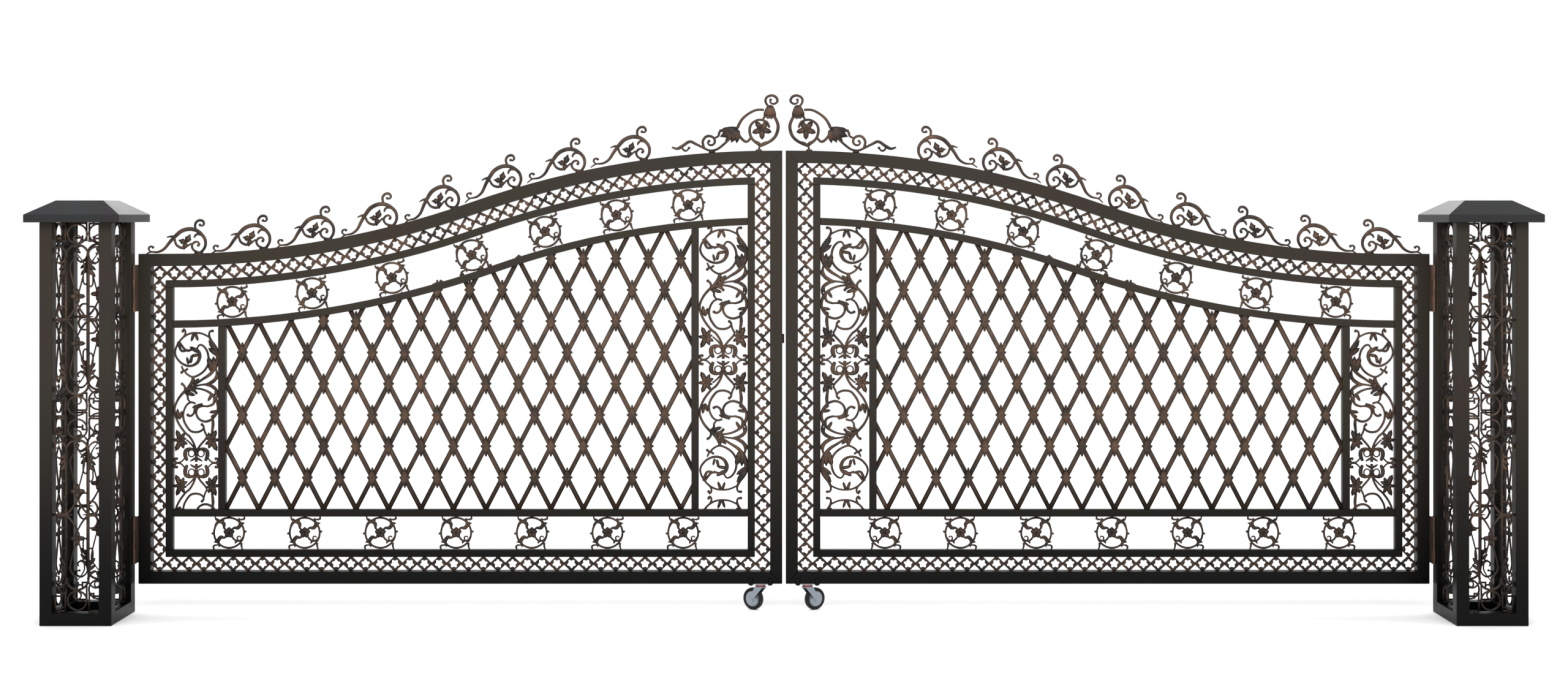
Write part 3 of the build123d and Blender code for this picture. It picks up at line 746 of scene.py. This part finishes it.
def star_link(name, pitch, gap):
    """One diamond, pierced by a star whose single point is up, about its centre."""
    star_reach = 0.0194
    star_waist = 0.0120
    overlap = 0.0046
    sunk = 0.004
    bulge = 1.03
    rim_round = 0.0015
    segments = 20
    build = bmesh.new()
    inner = bmesh.ops.create_circle(build, segments=segments, radius=1)["verts"]
    outer = bmesh.ops.create_circle(build, segments=segments, radius=1)["verts"]
    for star_vert, edge_vert in zip(inner, outer):
        angle = atan2(star_vert.co.y, star_vert.co.x)
        swing = cos(5 * (angle - pi / 2))
        star_vert.co *= (star_reach + star_waist) / 2 + (star_reach - star_waist) / 2 * swing
        across = abs(cos(angle)) / (pitch / 2 + overlap)
        upward = abs(sin(angle)) / (gap / 2 + sunk)
        edge_vert.co *= (across**bulge + upward**bulge) ** (-1 / bulge)
    front = bmesh.ops.bridge_loops(build, edges=build.edges[:])["faces"]
    back = verts_in(bmesh.ops.extrude_face_region(build, geom=front)["geom"])
    bmesh.ops.translate(build, vec=(0, 0, band_depth), verts=back)
    bmesh.ops.translate(build, vec=(0, 0, -band_depth / 2), verts=build.verts)
    bmesh.ops.recalc_face_normals(build, faces=build.faces)
    round_edges(build, sharp_edges(build.edges, 60), rim_round, True)
    bmesh.ops.rotate(build, verts=build.verts, matrix=Matrix.Rotation(pi / 2, 3, "X"))
    return finish_mesh(build, name)


def chain(name, length, gap, place):
    """A (mesh, matrices) pair for a row of diamonds; `place` maps a distance to a matrix."""
    count = round(length / diamond_pitch)
    pitch = length / count
    matrices = []
    for link in range(count):
        flipped = half_turn if link // strip_links % 2 else Matrix.Identity(4)
        matrices.append(place((link + 0.5) * pitch) @ flipped)
    return star_link(name, pitch, gap), matrices


frame_left = outer_tube
frame_right = leaf_width - outer_tube
band_bottom = leaf_bottom + outer_tube
inner_bottom = band_bottom + band_gap
inner_top = outer_tube + band_gap
first_run = run_at(frame_left)
quarter_turn = pi / 2
bands = [
    chain(
        "low_band_link", frame_right - frame_left, band_gap,
        lambda along: leaf_matrix(frame_left + along, band_bottom + band_gap / 2),
    ),
    chain(
        "top_band_link", run_at(frame_right) - first_run, band_gap,
        lambda along: on_curve(first_run + along, outer_tube + band_gap / 2),
    ),
    chain(
        "hinge_band_link", hinge_height - inner_top - inner_bottom, band_gap,
        lambda along: leaf_matrix(frame_left + band_gap / 2, inner_bottom + along, quarter_turn),
    ),
    chain(
        "meeting_band_link", meeting_height - inner_top - inner_bottom, meeting_band_gap,
        lambda along: leaf_matrix(
            frame_right - meeting_band_gap / 2, inner_bottom + along, quarter_turn
        ),
    ),
]
fit_castings(copies_mesh("diamond_bands", bands), "star_bands", "diamond_bands")


# Lattice. Ridged bars cross to form tall diamonds, and over each crossing sits a pointed
# boss with a small flower, front and back; cast in lengths and welded between the rails.
# The lattice paint, with the same painted shade towards the foot.
lattice_paint = shaded_casting_material(
    "lattice_paint", (0.030, 0.022, 0.017), (0.17, 0.088, 0.048), 0.60, 0.36
)
lattice_pitch = 0.133
lattice_row = 0.128
lattice_bar = 19
lattice_depth = 13
lattice_fullness = 1.12
lattice_stagger = 0.6
hinge_scroll_width = 0.185
meeting_scroll_width = 0.200
rosette_bottom = inner_bottom + inner_tube
lattice_bottom = rosette_bottom + rosette_gap + inner_tube
hinge_scroll_left = frame_left + band_gap + inner_tube
lattice_left = hinge_scroll_left + hinge_scroll_width + inner_tube
meeting_scroll_right = frame_right - meeting_band_gap - inner_tube
lattice_right = meeting_scroll_right - meeting_scroll_width - inner_tube
panel_top = inner_top + inner_tube + rosette_gap
lattice_top = panel_top + inner_tube
hide = 0.010


def in_field(point, margin):
    """Whether a leaf point lies in the lattice's field, grown by `margin`."""
    roof = top_point(run_at(point.x), lattice_top).y + margin
    sides_clear = lattice_left - margin < point.x < lattice_right + margin
    return sides_clear and lattice_bottom - margin < point.y < roof


lean = lattice_pitch / 2 / lattice_row
tallest = meeting_height - lattice_bottom
reach = tallest * lean
bars = bmesh.new()
samples = 900
early_samples = 20
fewest_inside = 20
for side in (1, -1):
    first = -int(reach / lattice_pitch) - 1 if side > 0 else 0
    last = int((lattice_right - lattice_left + (0 if side > 0 else reach)) / lattice_pitch) + 1
    for index in range(first, last + 1):
        foot = Vector((lattice_left + index * lattice_pitch, lattice_bottom))
        way = Vector((side * reach, tallest))
        line = [foot + way * ((step - early_samples) / samples) for step in range(samples)]
        inside = [point for point in line if in_field(point, hide)]
        if len(inside) < fewest_inside:
            continue
        ends = [(inside[0].x / mm, inside[0].y / mm), (inside[-1].x / mm, inside[-1].y / mm)]
        cast_bar(
            bars, ends, [lattice_bar, lattice_bar], lattice_depth, 1, 6, side * lattice_stagger,
            lattice_fullness,
        )
bars_mesh = finish_mesh(bars, "lattice_bars", False)


def cast_flower(build, centre, petals, reach, depth, start=90.0):
    """Casts a flower of round petals about a bead."""
    petal_place = 0.62
    petal_share = 0.40
    heart_share = 0.30
    for petal in range(petals):
        angle = radians(start + 360 * petal / petals)
        out = petal_place * reach
        place = (centre[0] + out * cos(angle), centre[1] + out * sin(angle))
        cast_bead(build, place, petal_share * reach, depth)
    cast_bead(build, centre, heart_share * reach, 1.5 * depth)


boss_half_width = 0.019
boss_half_height = 0.036
boss_seat = 0.0055
boss_wall = 0.0035
boss_crown = 0.0015
crown_share = 0.72
boss_margin = 0.012
rim_side = 16.5
rim_tip = 32
rim_lift = 10.5
boss = bmesh.new()
for sign in (1, -1):
    plate = bmesh.ops.create_circle(
        boss, cap_ends=True, cap_tris=False, segments=4, radius=1
    )["verts"]
    size = Matrix.Diagonal((boss_half_width, boss_half_height, 1, 1))
    bmesh.ops.transform(boss, matrix=Matrix.Rotation(pi / 2, 4, "X") @ size, verts=plate)
    face = plate[0].link_faces[0]
    bmesh.ops.translate(boss, vec=(0, sign * boss_seat, 0), verts=plate)
    for rise, share in ((boss_wall, 1), (boss_crown, crown_share)):
        face = bmesh.ops.extrude_discrete_faces(boss, faces=[face])["faces"][0]
        centre = face.calc_center_median()
        bmesh.ops.translate(boss, vec=(0, sign * rise, 0), verts=face.verts)
        bmesh.ops.transform(
            boss, matrix=Matrix.Diagonal((share, 1, share, 1)),
            space=Matrix.Translation(-centre), verts=face.verts,
        )
boss_flower = bmesh.new()
cast_flower(boss_flower, (0, -1), 4, 8, 21.5, 45)
for end in (1, -1):
    cast_leaf(boss_flower, (0, end * 28), 13, end * 90, 1, 12, 0.9)
    cast_bead(boss_flower, (end * 18.5, 1), 4.5, 12)
    for front in (1, -1):
        for tip in (rim_tip, -rim_tip):
            rim = [(0, tip), (end * rim_side, 0)]
            cast_bar(boss_flower, rim, [3.4, 3.4], 5, 1, 6, front * rim_lift)
boss_mesh = finish_mesh(boss, "boss_plate", False)
flower_mesh = finish_mesh(boss_flower, "boss_flower")
boss_places = []
rows = int(tallest / lattice_row) + 1
columns = int((lattice_right - lattice_left + reach) / lattice_pitch) + 1
for row in range(1, rows):
    for column in range(-columns, columns):
        point = Vector((
            lattice_left + (column + row / 2) * lattice_pitch, lattice_bottom + row * lattice_row,
        ))
        if in_field(point, -boss_margin):
            boss_places.append(leaf_matrix(point.x, point.y))
fit_pair(
    copies_mesh("lattice", [
        (bars_mesh, [leaf_matrix(0, 0)]), (boss_mesh, boss_places), (flower_mesh, boss_places),
    ]),
    "lattice_castings", "lattice", [lattice_paint], "leaf",
)


# Rosettes. A cast ring carries three acanthus arms and a stem round a five-petalled flower;
# its curled feet are welded to the rail above and the rail below.
rosette_count = 7
rosette_first = 0.364
rosette_last = leaf_width - 0.406
arm_widths = [4, 8, 13, 13, 8, 6]
rosette_arms = [
    ([(-60, 18), (-52, 38), (-35, 46), (-21, 36), (-20, 20), (-9, 9)], arm_widths),
    ([(22, 58), (40, 48), (46, 34), (36, 20), (20, 20), (9, 9)], arm_widths),
    ([(-22, -58), (-40, -46), (-44, -32), (-33, -18), (-19, -20), (-9, -9)], arm_widths),
    ([(60, -12), (50, -28), (34, -34), (20, -26), (9, -9)], [5, 6, 7, 7, 6]),
    ([(36, -33), (34, -18), (44, -14), (48, -20)], [6, 5, 4]),
]
rosette_feet = [
    ([(-44, 48), (-53, 55), (-57, 66)], [9, 6, 5]),
    ([(34, 54), (52, 54), (63, 58), (62, 67)], [5, 7, 5]),
    ([(-40, -50), (-58, -51), (-64, -58), (-61, -67)], [5, 7, 5]),
    ([(51, -42), (51, -55), (55, -67)], [9, 6, 5]),
]


def cast_strokes(build, strokes, depth, steps, fullness=bar_fullness):
    """Casts one bar for each (points, widths) pair."""
    for points, widths in strokes:
        cast_bar(build, points, widths, depth, steps, fullness=fullness)


rosette = bmesh.new()
cast_ring(rosette, (0, 0), 61.5, 9, 12, 36)
cast_strokes(rosette, rosette_arms, 12, 3)
cast_strokes(rosette, rosette_feet, 9, 3)
cast_beads(rosette, [points[-2] for points, widths in rosette_feet], 5, 10)
cast_star(rosette, (0, 0), 5, 21, 16, 90, 1.15)
for centre, turn, reach in (
    ((-30, 44), 60, 20), ((-40, 42), 115, 18), ((44, 36), 10, 20), ((38, 46), 75, 16),
    ((-42, -34), 190, 20), ((-36, -44), 250, 16), ((30, -32), 250, 14),
):
    cast_leaf(rosette, centre, reach, turn, 2, 12, 0.6)
cast_beads(rosette, [(-68, -3), (68, 5)], 5, 9)
rosette_mesh = finish_mesh(rosette, "rosette")
level_middle = rosette_bottom + rosette_gap / 2
curve_middle = inner_top + inner_tube + rosette_gap / 2
rosette_places = []
for index in range(rosette_count):
    across = rosette_first + (rosette_last - rosette_first) * index / (rosette_count - 1)
    rosette_places += [leaf_matrix(across, level_middle), on_curve(run_at(across), curve_middle)]
rosettes = copies_mesh("rosettes", [(rosette_mesh, rosette_places)])
fit_castings(rosettes, "cast_rosettes", "rosettes")


# Scroll panels. The two end bays hold a tall casting of scrolls and acanthus leaves about an
# upright middle line, mirrored top to bottom and cut to the bay's height.
motif_height = 553
motif_width = 200
weld_depth = 0.006
motif_strokes = [
    ([(172, 12), (160, 16), (157, 32), (166, 54), (184, 80), (195, 112), (188, 152), (163, 188),
      (129, 210), (100, 229), (76, 246), (50, 260)], [9, 8, 12, 17, 16, 10, 8, 12]),
    ([(157, 38), (126, 24), (94, 21), (65, 26), (39, 42), (17, 68), (6, 98), (12, 121),
      (32, 143), (58, 155), (82, 155), (104, 143), (115, 120), (111, 99), (94, 87), (71, 92),
      (62, 98)], [7, 8, 8, 8, 9, 10, 15, 12, 6]),
    ([(40, 15), (45, 6), (52, 16), (48, 32), (32, 48)], [10, 8, 8, 8]),
    ([(104, 84), (113, 71), (129, 73), (146, 92), (154, 121), (151, 152), (133, 178), (105, 196),
      (81, 201), (58, 189), (46, 176), (35, 183)], [7, 8, 9, 9, 9, 8, 8, 10]),
    ([(34, 156), (46, 176), (62, 167)], [6, 9, 9]),
    ([(81, 200), (86, 214), (72, 236), (52, 258)], [7, 17, 13, 10]),
    ([(51, 262), (48, 240), (37, 230)], [9, 9, 9]),
    ([(50, 258), (24, 286), (7, 318), (4, 341), (11, 369), (27, 400), (52, 431), (70, 445),
      (88, 472), (99, 500)], [11, 9, 9, 9, 9, 9, 8]),
    ([(78, 247), (117, 250), (149, 260), (174, 277), (190, 299), (196, 325), (190, 350),
      (168, 375), (139, 384), (113, 374), (100, 353), (104, 331), (123, 321), (152, 322)],
     [8, 8, 11, 12, 10, 10, 9, 9, 9, 7]),
    ([(76, 246), (113, 235), (139, 232), (157, 228), (181, 214), (191, 192), (187, 166)],
     [9, 7, 9, 15, 13, 6]),
    ([(142, 234), (166, 238), (186, 252), (193, 271), (190, 290)], [7, 14, 12, 6]),
    ([(66, 255), (87, 255), (100, 267)], [8, 14, 9]),
    ([(49, 264), (61, 276), (63, 292), (72, 303)], [9, 9, 8, 6]),
    ([(96, 310), (76, 305), (56, 318), (43, 347), (44, 376), (56, 401), (76, 423), (104, 427),
      (126, 419), (133, 405), (125, 396)], [8, 8, 8, 9, 9, 9, 8, 10]),
    ([(123, 314), (104, 320), (94, 331), (89, 350), (75, 361), (62, 357)],
     [10, 12, 11, 9, 9, 10]),
    ([(132, 404), (138, 427), (146, 448), (120, 478), (101, 502)], [7, 8, 9, 8]),
    ([(171, 366), (174, 395), (168, 440)], [9, 13, 9]),
    ([(16, 366), (28, 352), (40, 366)], [5, 7, 6]),
    ([(56, 458), (76, 475), (96, 497)], [6, 7, 8]),
    ([(174, 272), (180, 297), (172, 314), (148, 322)], [8, 11, 10, 8]),
    ([(18, 58), (26, 80), (36, 95), (56, 94)], [9, 11, 10, 8]),
    ([(22, 54), (38, 76), (52, 90), (72, 93)], [9, 10, 9, 9]),
    ([(100, 496), (100, 549)], [12, 11]),
    ([(74, 546), (100, 534), (126, 546)], [5, 12, 5]),
]
foot_strokes = [
    ([(97, 501), (72, 496), (53, 504), (51, 524), (60, 544)], [8, 13, 16, 17, 11]),
    ([(48, 534), (34, 548), (17, 552), (6, 547), (5, 536), (15, 535)], [6, 7, 9, 9]),
]
for points, widths in foot_strokes:
    other_side = [(motif_width - x, y) for x, y in points]
    motif_strokes += [(points, widths), (other_side, widths)]
motif_leaves = [
    (96, 22, 30, -70), (90, 22, 32, -110), (74, 146, 32, 78), (66, 150, 28, 105),
    (192, 100, 52, 128), (194, 112, 44, 144), (180, 64, 26, 160), (170, 180, 58, 106),
    (178, 176, 52, 92), (182, 170, 46, 76), (110, 100, 40, 150), (112, 110, 34, 190),
    (172, 268, 34, -122), (196, 342, 34, 186), (192, 352, 28, 205), (100, 316, 20, 215),
    (20, 372, 36, 95), (24, 376, 34, 70), (186, 214, 30, 60), (188, 250, 26, -100),
    (84, 232, 34, 40), (52, 262, 40, -20),
]
lily_petals = [(114, 41), (175, 30), (242, 43), (293, 32), (331, 30), (63, 32), (20, 24)]


def on_motif(x, y):
    """Turns a place read from the motif's left and top into one about its middle."""
    return x - motif_width / 2, -y


motif = bmesh.new()
for points, widths in motif_strokes:
    cast_bar(motif, [on_motif(x, y) for x, y in points], widths, 12, 3, fullness=1.12)
for x, y, reach, turn in motif_leaves:
    cast_leaf(motif, on_motif(x, y), reach, turn, 1, 15, 0.5)
for turn, reach in lily_petals:
    cast_leaf(motif, on_motif(31, 461), reach, turn, 1, 16, 0.62)
    cast_leaf(motif, on_motif(169, 461), reach, 180 - turn, 1, 16, 0.62)
for x, y in (
    (172, 13), (40, 14), (35, 183), (37, 230), (125, 396), (123, 314), (62, 357), (100, 267),
    (14, 536), (186, 536), (31, 461), (169, 461),
):
    cast_bead(motif, on_motif(x, y), 6.5, 15)
for x in (79, 121):
    cast_ring(motif, on_motif(x, 514), 14, 6, 12, 16)
motif_mesh = finish_mesh(motif, "scroll_motif")
mirror_down = Matrix.Diagonal((1, 1, -1, 1))


def scroll_panel(name, left, width, corner):
    """One bay's casting, from the corner height down to the lattice's bottom rail."""
    squeeze = Matrix.Diagonal((width / (motif_width * mm), 1, 1, 1))
    build = bmesh.new()
    top = corner
    flipped = False
    while top > lattice_bottom:
        start = top - motif_height * mm if flipped else top
        shape = mirror_down @ squeeze if flipped else squeeze
        add_copies(build, motif_mesh, [leaf_matrix(left + width / 2, start) @ shape])
        top -= motif_height * mm
        flipped = not flipped
    cut = (0, 0, lattice_bottom - weld_depth)
    parts = build.verts[:] + build.edges[:] + build.faces[:]
    bmesh.ops.bisect_plane(
        build, geom=parts, plane_co=cut, plane_no=(0, 0, -1), clear_outer=True
    )
    rims = [edge for edge in build.edges if edge.is_boundary]
    bmesh.ops.holes_fill(build, edges=rims, sides=0)
    fit_castings(finish_mesh(build, name), name, name.replace("casting", "panel"))


scroll_panel(
    "hinge_scroll_casting", hinge_scroll_left, hinge_scroll_width, hinge_height - lattice_top
)
scroll_panel(
    "meeting_scroll_casting", meeting_scroll_right - meeting_scroll_width, meeting_scroll_width,
    meeting_height - lattice_top,
)


# Crest. Eight small cast scrolls stand on the top rail, each a running stem that rises into
# a curl with a leaf inside it; the foot under the curl and the tail are welded to the rail.
crest_count = 8
crest_first = 0.240
crest_last = 2.063
crest_strokes = [
    ([(-220, 1), (-197, 12), (-168, 11), (-141, 23), (-117, 50), (-93, 74), (-67, 94), (-35, 101),
      (-8, 95), (13, 79), (28, 55), (27, 28), (13, 8), (0, 3)], [3, 7, 10, 13, 13, 11, 9, 8]),
    ([(0, 4), (-21, 15), (-27, 34), (-16, 46), (-3, 47), (4, 37), (-1, 31)], [7, 8, 7, 5]),
    ([(-98, 68), (-91, 39), (-69, 25), (-48, 31), (-29, 42)], [7, 9, 5]),
    ([(-197, 14), (-204, 23), (-201, 32), (-192, 35), (-187, 30)], [5, 7, 4]),
    ([(-3, 90), (-11, 106), (-9, 124), (5, 135), (21, 132), (25, 119), (16, 112), (9, 116)],
     [7, 8, 9, 7, 4]),
    ([(13, 74), (-3, 79), (-14, 71), (-16, 64)], [6, 8, 4]),
    ([(-94, 72), (-112, 73), (-129, 70)], [9, 7, 3]),
]
crest = bmesh.new()
cast_strokes(crest, crest_strokes, 11, 4)
for turn, reach in ((62, 34), (160, 30), (250, 28)):
    cast_leaf(crest, (-50, 46), reach, turn, 2, 12, 0.7)
cast_beads(crest, [(-1, 33), (9, 116), (-187, 31)], 6, 12)
cast_bar(crest, [(-17, 1), (17, 1)], [9, 9], 12, 1)
crest_mesh = finish_mesh(crest, "crest_scroll")
first_run, last_run = run_at(crest_first), run_at(crest_last)
crest_places = []
for index in range(crest_count):
    run = first_run + (last_run - first_run) * index / (crest_count - 1)
    crest_places.append(on_curve(run, 0))
crests = copies_mesh("crest_scrolls", [(crest_mesh, crest_places)])
fit_castings(crests, "crest_castings", "crest_scrolls")


# End scroll. At the meeting end a tall casting closes the crest: a tail with a small spiral
# sweeps up through a leaf cup into a big ring round a lily, and a tulip bears the top curl.
end_scroll_margin = 0.013
end_scroll_reach = 0.082
end_strokes = [
    ([(-357, 15), (-336, 9), (-315, 19), (-285, 38), (-259, 28), (-231, 14), (-203, 2),
      (-174, 6), (-146, 26), (-118, 52)], [6, 12, 11, 9, 8, 9, 9]),
    ([(-316, 17), (-310, 4), (-297, 1), (-287, 12)], [7, 8, 5]),
    ([(-225, 10), (-231, 37), (-220, 56), (-204, 61), (-187, 54), (-181, 39), (-188, 26),
      (-202, 24), (-210, 33), (-205, 41)], [9, 10, 9, 8, 6]),
    ([(-184, 52), (-167, 61), (-160, 80), (-136, 82)], [7, 9, 9]),
    ([(-90, 92), (-73, 125), (-48, 149), (-13, 167), (20, 168)], [11, 10, 9, 9]),
    ([(-88, 84), (-80, 61), (-60, 40), (-46, 40), (-34, 54)], [11, 10, 9]),
    ([(2, 24), (-29, 50), (-39, 83), (-31, 110), (-7, 126), (18, 125), (36, 113), (40, 100)],
     [11, 10, 9, 9, 7]),
    ([(64, 140), (78, 104), (71, 68), (54, 46), (27, 30), (0, 20)], [11, 12, 11, 11]),
    ([(0, -2), (1, 14), (6, 30)], [12, 7, 12]),
    ([(24, 142), (18, 133), (17, 122)], [8, 8]),
    ([(42, 178), (27, 199), (30, 218), (50, 227), (69, 220), (75, 203), (60, 192), (46, 199),
      (47, 209)], [8, 9, 10, 8, 5]),
    ([(25, 141), (46, 137), (66, 141)], [8, 9, 8]),
]
end_leaves = [
    (-86, 88, 66, -176), (-86, 88, 70, -158), (-86, 88, 62, -138), (-86, 88, 54, -118),
    (-86, 88, 50, -96), (46, 188, 50, -118), (46, 188, 52, -101), (46, 188, 52, -85),
    (46, 188, 50, -68), (8, 26, 30, 20), (8, 26, 26, 150), (-140, 80, 22, 165),
]
end_scroll = bmesh.new()
cast_strokes(end_scroll, end_strokes, 13, 4, fullness=1.15)
for x, z, reach, turn in end_leaves:
    cast_leaf(end_scroll, (x, z), reach, turn, 1, 17, 0.5)
cast_star(end_scroll, (11, 88), 5, 37, 12, 128, 0.75)
cast_beads(end_scroll, [(47, 209), (-205, 40), (-287, 12), (40, 100)], 6, 14)
for weld in ([(-14, 1), (12, 1)], [(-206, -4), (-180, -3)]):
    cast_bar(end_scroll, weld, [8, 8], 13, 1)
end_foot = leaf_width - end_scroll_margin - end_scroll_reach
end_mesh = finish_mesh(end_scroll, "end_scroll")
end_mesh.transform(leaf_matrix(end_foot, top_point(run_at(end_foot), 0).y))
fit_castings(end_mesh, "end_scroll_casting", "crest_end_scroll")


# Hinge halves on the leaves. A plate of the same steel on the stile with the one knuckle
# that turns on the pin between the post's two.
fit_pair(
    hinge_mesh("leaf_hinges", 1), "leaf_hinges", "leaf_hinge_halves", [hinge_paint_and_shade],
    "leaf",
)


# Caster brackets. Under each meeting stile a zinc plate carries the ball race of a swivel
# caster, held up by two dark half-round lugs welded to the bottom rail.
zinc, zinc_tree, zinc_shader = new_material("zinc_plate", {
    "Base Color": (0.27, 0.30, 0.335, 1), "Metallic": 0.9,
})
zinc_place = add_node(zinc_tree, "ShaderNodeTexCoord", {}).outputs["Object"]
zinc_cloud = add_node(zinc_tree, "ShaderNodeTexNoise", {
    "Scale": 60, "Detail": 4, "Vector": zinc_place,
})
zinc_gloss = add_node(zinc_tree, "ShaderNodeMapRange", {
    "To Min": 0.28, "To Max": 0.5, "Value": zinc_cloud.outputs["Fac"],
})
set_inputs(zinc_tree, zinc_shader, {"Roughness": zinc_gloss.outputs["Result"]})
race_paint = new_material("race_ring", {
    "Base Color": (0.35, 0.03, 0.02, 1), "Roughness": 0.4,
})[0]
bracket_low, bracket_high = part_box("left_caster_bracket")
caster_x = (bracket_low.x + bracket_high.x) / 2
caster_turn = radians(-34)
plate_drop = 0.004
race_radius = 0.020
race_height = 0.008
race_lip = 0.001
race_top = bracket_high.z - plate_drop
seat_height = 0.004
ring_height = 0.005
bolt_across = 0.036
bolt_along = 0.015
bolt_radius = 0.0055
bolt_height = 0.005
bracket = bmesh.new()
add_box(
    bracket, (bracket_low.x, bracket_low.y, race_top),
    (bracket_high.x, bracket_high.y, leaf_bottom),
)
seat_middle = race_top - seat_height / 2
ring_middle = race_top - race_height / 2 - race_lip
for side in (1, -1):
    for depth in (1, -1):
        bolt = (caster_x + side * bolt_across, leaf_plane + depth * bolt_along, seat_middle)
        add_drum(bracket, bolt, bolt_radius, bolt_height, "Z", 6)
add_drum(bracket, (caster_x, leaf_plane, seat_middle), race_radius - race_lip, seat_height)
zinc_faces = set(bracket.faces)
add_drum(bracket, (caster_x, leaf_plane, ring_middle), race_radius, ring_height)
for face in bracket.faces:
    if face not in zinc_faces:
        face.material_index = 1
painted_faces = set(bracket.faces)
lug_radius = 0.010
lug_height = 0.030
lug_drop = 0.006
lug_round = 0.006
lug_across = 0.040
for side in (1, -1):
    lug_place = (
        caster_x + side * lug_across, leaf_front, leaf_bottom + lug_height / 2 - lug_drop
    )
    add_drum(bracket, lug_place, lug_radius, lug_height, "Z", 24, lug_round)
for face in bracket.faces:
    if face not in painted_faces:
        face.material_index = 2
fit_pair(
    finish_mesh(bracket, "caster_bracket", False), "caster_plate", "caster_bracket",
    [zinc, race_paint, bronze_paint], "leaf",
)


# Caster forks. Pressed zinc cheeks hang from a round crown under the race and taper to the
# axle; they turn freely about the kingpin.
fork_gap = 0.001
fork_plate = 0.003
fork_top = race_top - race_height - fork_gap
wheel_radius = 0.045
wheel_width = 0.024
cheek_inside = wheel_width / 2 + 0.003
caster_trail = 0.036
crown_radius = 0.0235
cheek_top_radius = 0.018
cheek_foot_radius = 0.0115
cheek_sunk = 0.0005
axle_radius = 0.0049
nut_radius = 0.007
nut_height = 0.0035
swivel = Matrix.Translation((caster_x, leaf_plane, 0)) @ Matrix.Rotation(caster_turn, 4, "Z")
fork = bmesh.new()
add_drum(fork, (0, 0, fork_top - fork_plate / 2), crown_radius, fork_plate, "Z", 32)
cheek_top = fork_top - fork_plate - cheek_sunk
for side in (1, -1):
    cheek = bmesh.ops.create_circle(fork, cap_ends=True, segments=24, radius=1)["verts"]
    for vert in cheek:
        if vert.co.y > 0:
            vert.co = (cheek_top_radius * vert.co.x, 0, cheek_top)
        else:
            across, down = cheek_foot_radius * vert.co.x, cheek_foot_radius * vert.co.y
            vert.co = (-caster_trail + across, 0, wheel_radius + down)
    bmesh.ops.translate(fork, vec=(0, side * cheek_inside, 0), verts=cheek)
    bmesh.ops.remove_doubles(fork, verts=cheek, dist=0.0004)
    cheek = [vert for vert in cheek if vert.is_valid]
    faces = {item for vert in cheek for item in vert.link_faces}
    face = max(faces, key=lambda item: item.calc_area())
    outer = verts_in(bmesh.ops.extrude_face_region(fork, geom=[face])["geom"])
    bmesh.ops.translate(fork, vec=(0, side * fork_plate, 0), verts=outer)
    nut = (-caster_trail, side * (cheek_inside + fork_plate), wheel_radius)
    add_drum(fork, nut, nut_radius, nut_height, "Y", 6)
add_drum(fork, (-caster_trail, 0, wheel_radius), axle_radius, 2 * cheek_inside, "Y", 16)
bmesh.ops.transform(fork, matrix=swivel, verts=fork.verts)
fit_pair(
    finish_mesh(fork, "caster_fork", False), "fork", "caster_fork", [zinc],
    "caster_fork_body",
)


# Caster wheels. A black moulded rubber tyre on a bright pressed hub, on the fork's axle.
rubber = new_material("tyre_rubber", {
    "Base Color": (0.007, 0.007, 0.008, 1), "Specular IOR Level": 0.2, "Roughness": 0.6,
})[0]
tyre_profile = [
    (0.031, -0.0085), (0.034, -0.0105), (0.040, -0.0118), (0.0437, -0.0095), (0.045, -0.0040),
    (0.045, 0.0040), (0.0437, 0.0095), (0.040, 0.0118), (0.034, 0.0105), (0.031, 0.0085),
]
hub_profile = [
    (0.0052, -0.0118), (0.0095, -0.0118), (0.0105, -0.0080), (0.022, -0.0065), (0.0285, -0.0085),
    (0.0312, -0.0100), (0.0312, 0.0100), (0.0285, 0.0085), (0.022, 0.0065), (0.0105, 0.0080),
    (0.0095, 0.0118), (0.0052, 0.0118),
]


def turned_part(build, profile, steps):
    """Spins a closed (radius, along) profile about the Y axis."""
    loop = bmesh.ops.create_circle(
        build, cap_ends=False, segments=len(profile), radius=1
    )["verts"]
    for vert, (radius, along) in zip(loop, profile):
        vert.co = (radius, along, 0)
    spin_round(build, loop, steps)


wheel_steps = 48
wheel = bmesh.new()
turned_part(wheel, tyre_profile, wheel_steps)
for face in wheel.faces:
    face.material_index = 1
turned_part(wheel, hub_profile, wheel_steps)
axle = Matrix.Translation((-caster_trail, 0, wheel_radius))
bmesh.ops.transform(wheel, matrix=swivel @ axle, verts=wheel.verts)
fit_pair(
    finish_mesh(wheel, "caster_wheel"), "wheel", "caster_wheel", [zinc, rubber],
    "caster_wheel_body",
)


# Stop lug. A short piece of flat bar welded to the left leaf's meeting stile, which the
# right leaf closes against.
round_corners("stop_lug", "closing_lug", 0.001, bronze_paint, "left_leaf")
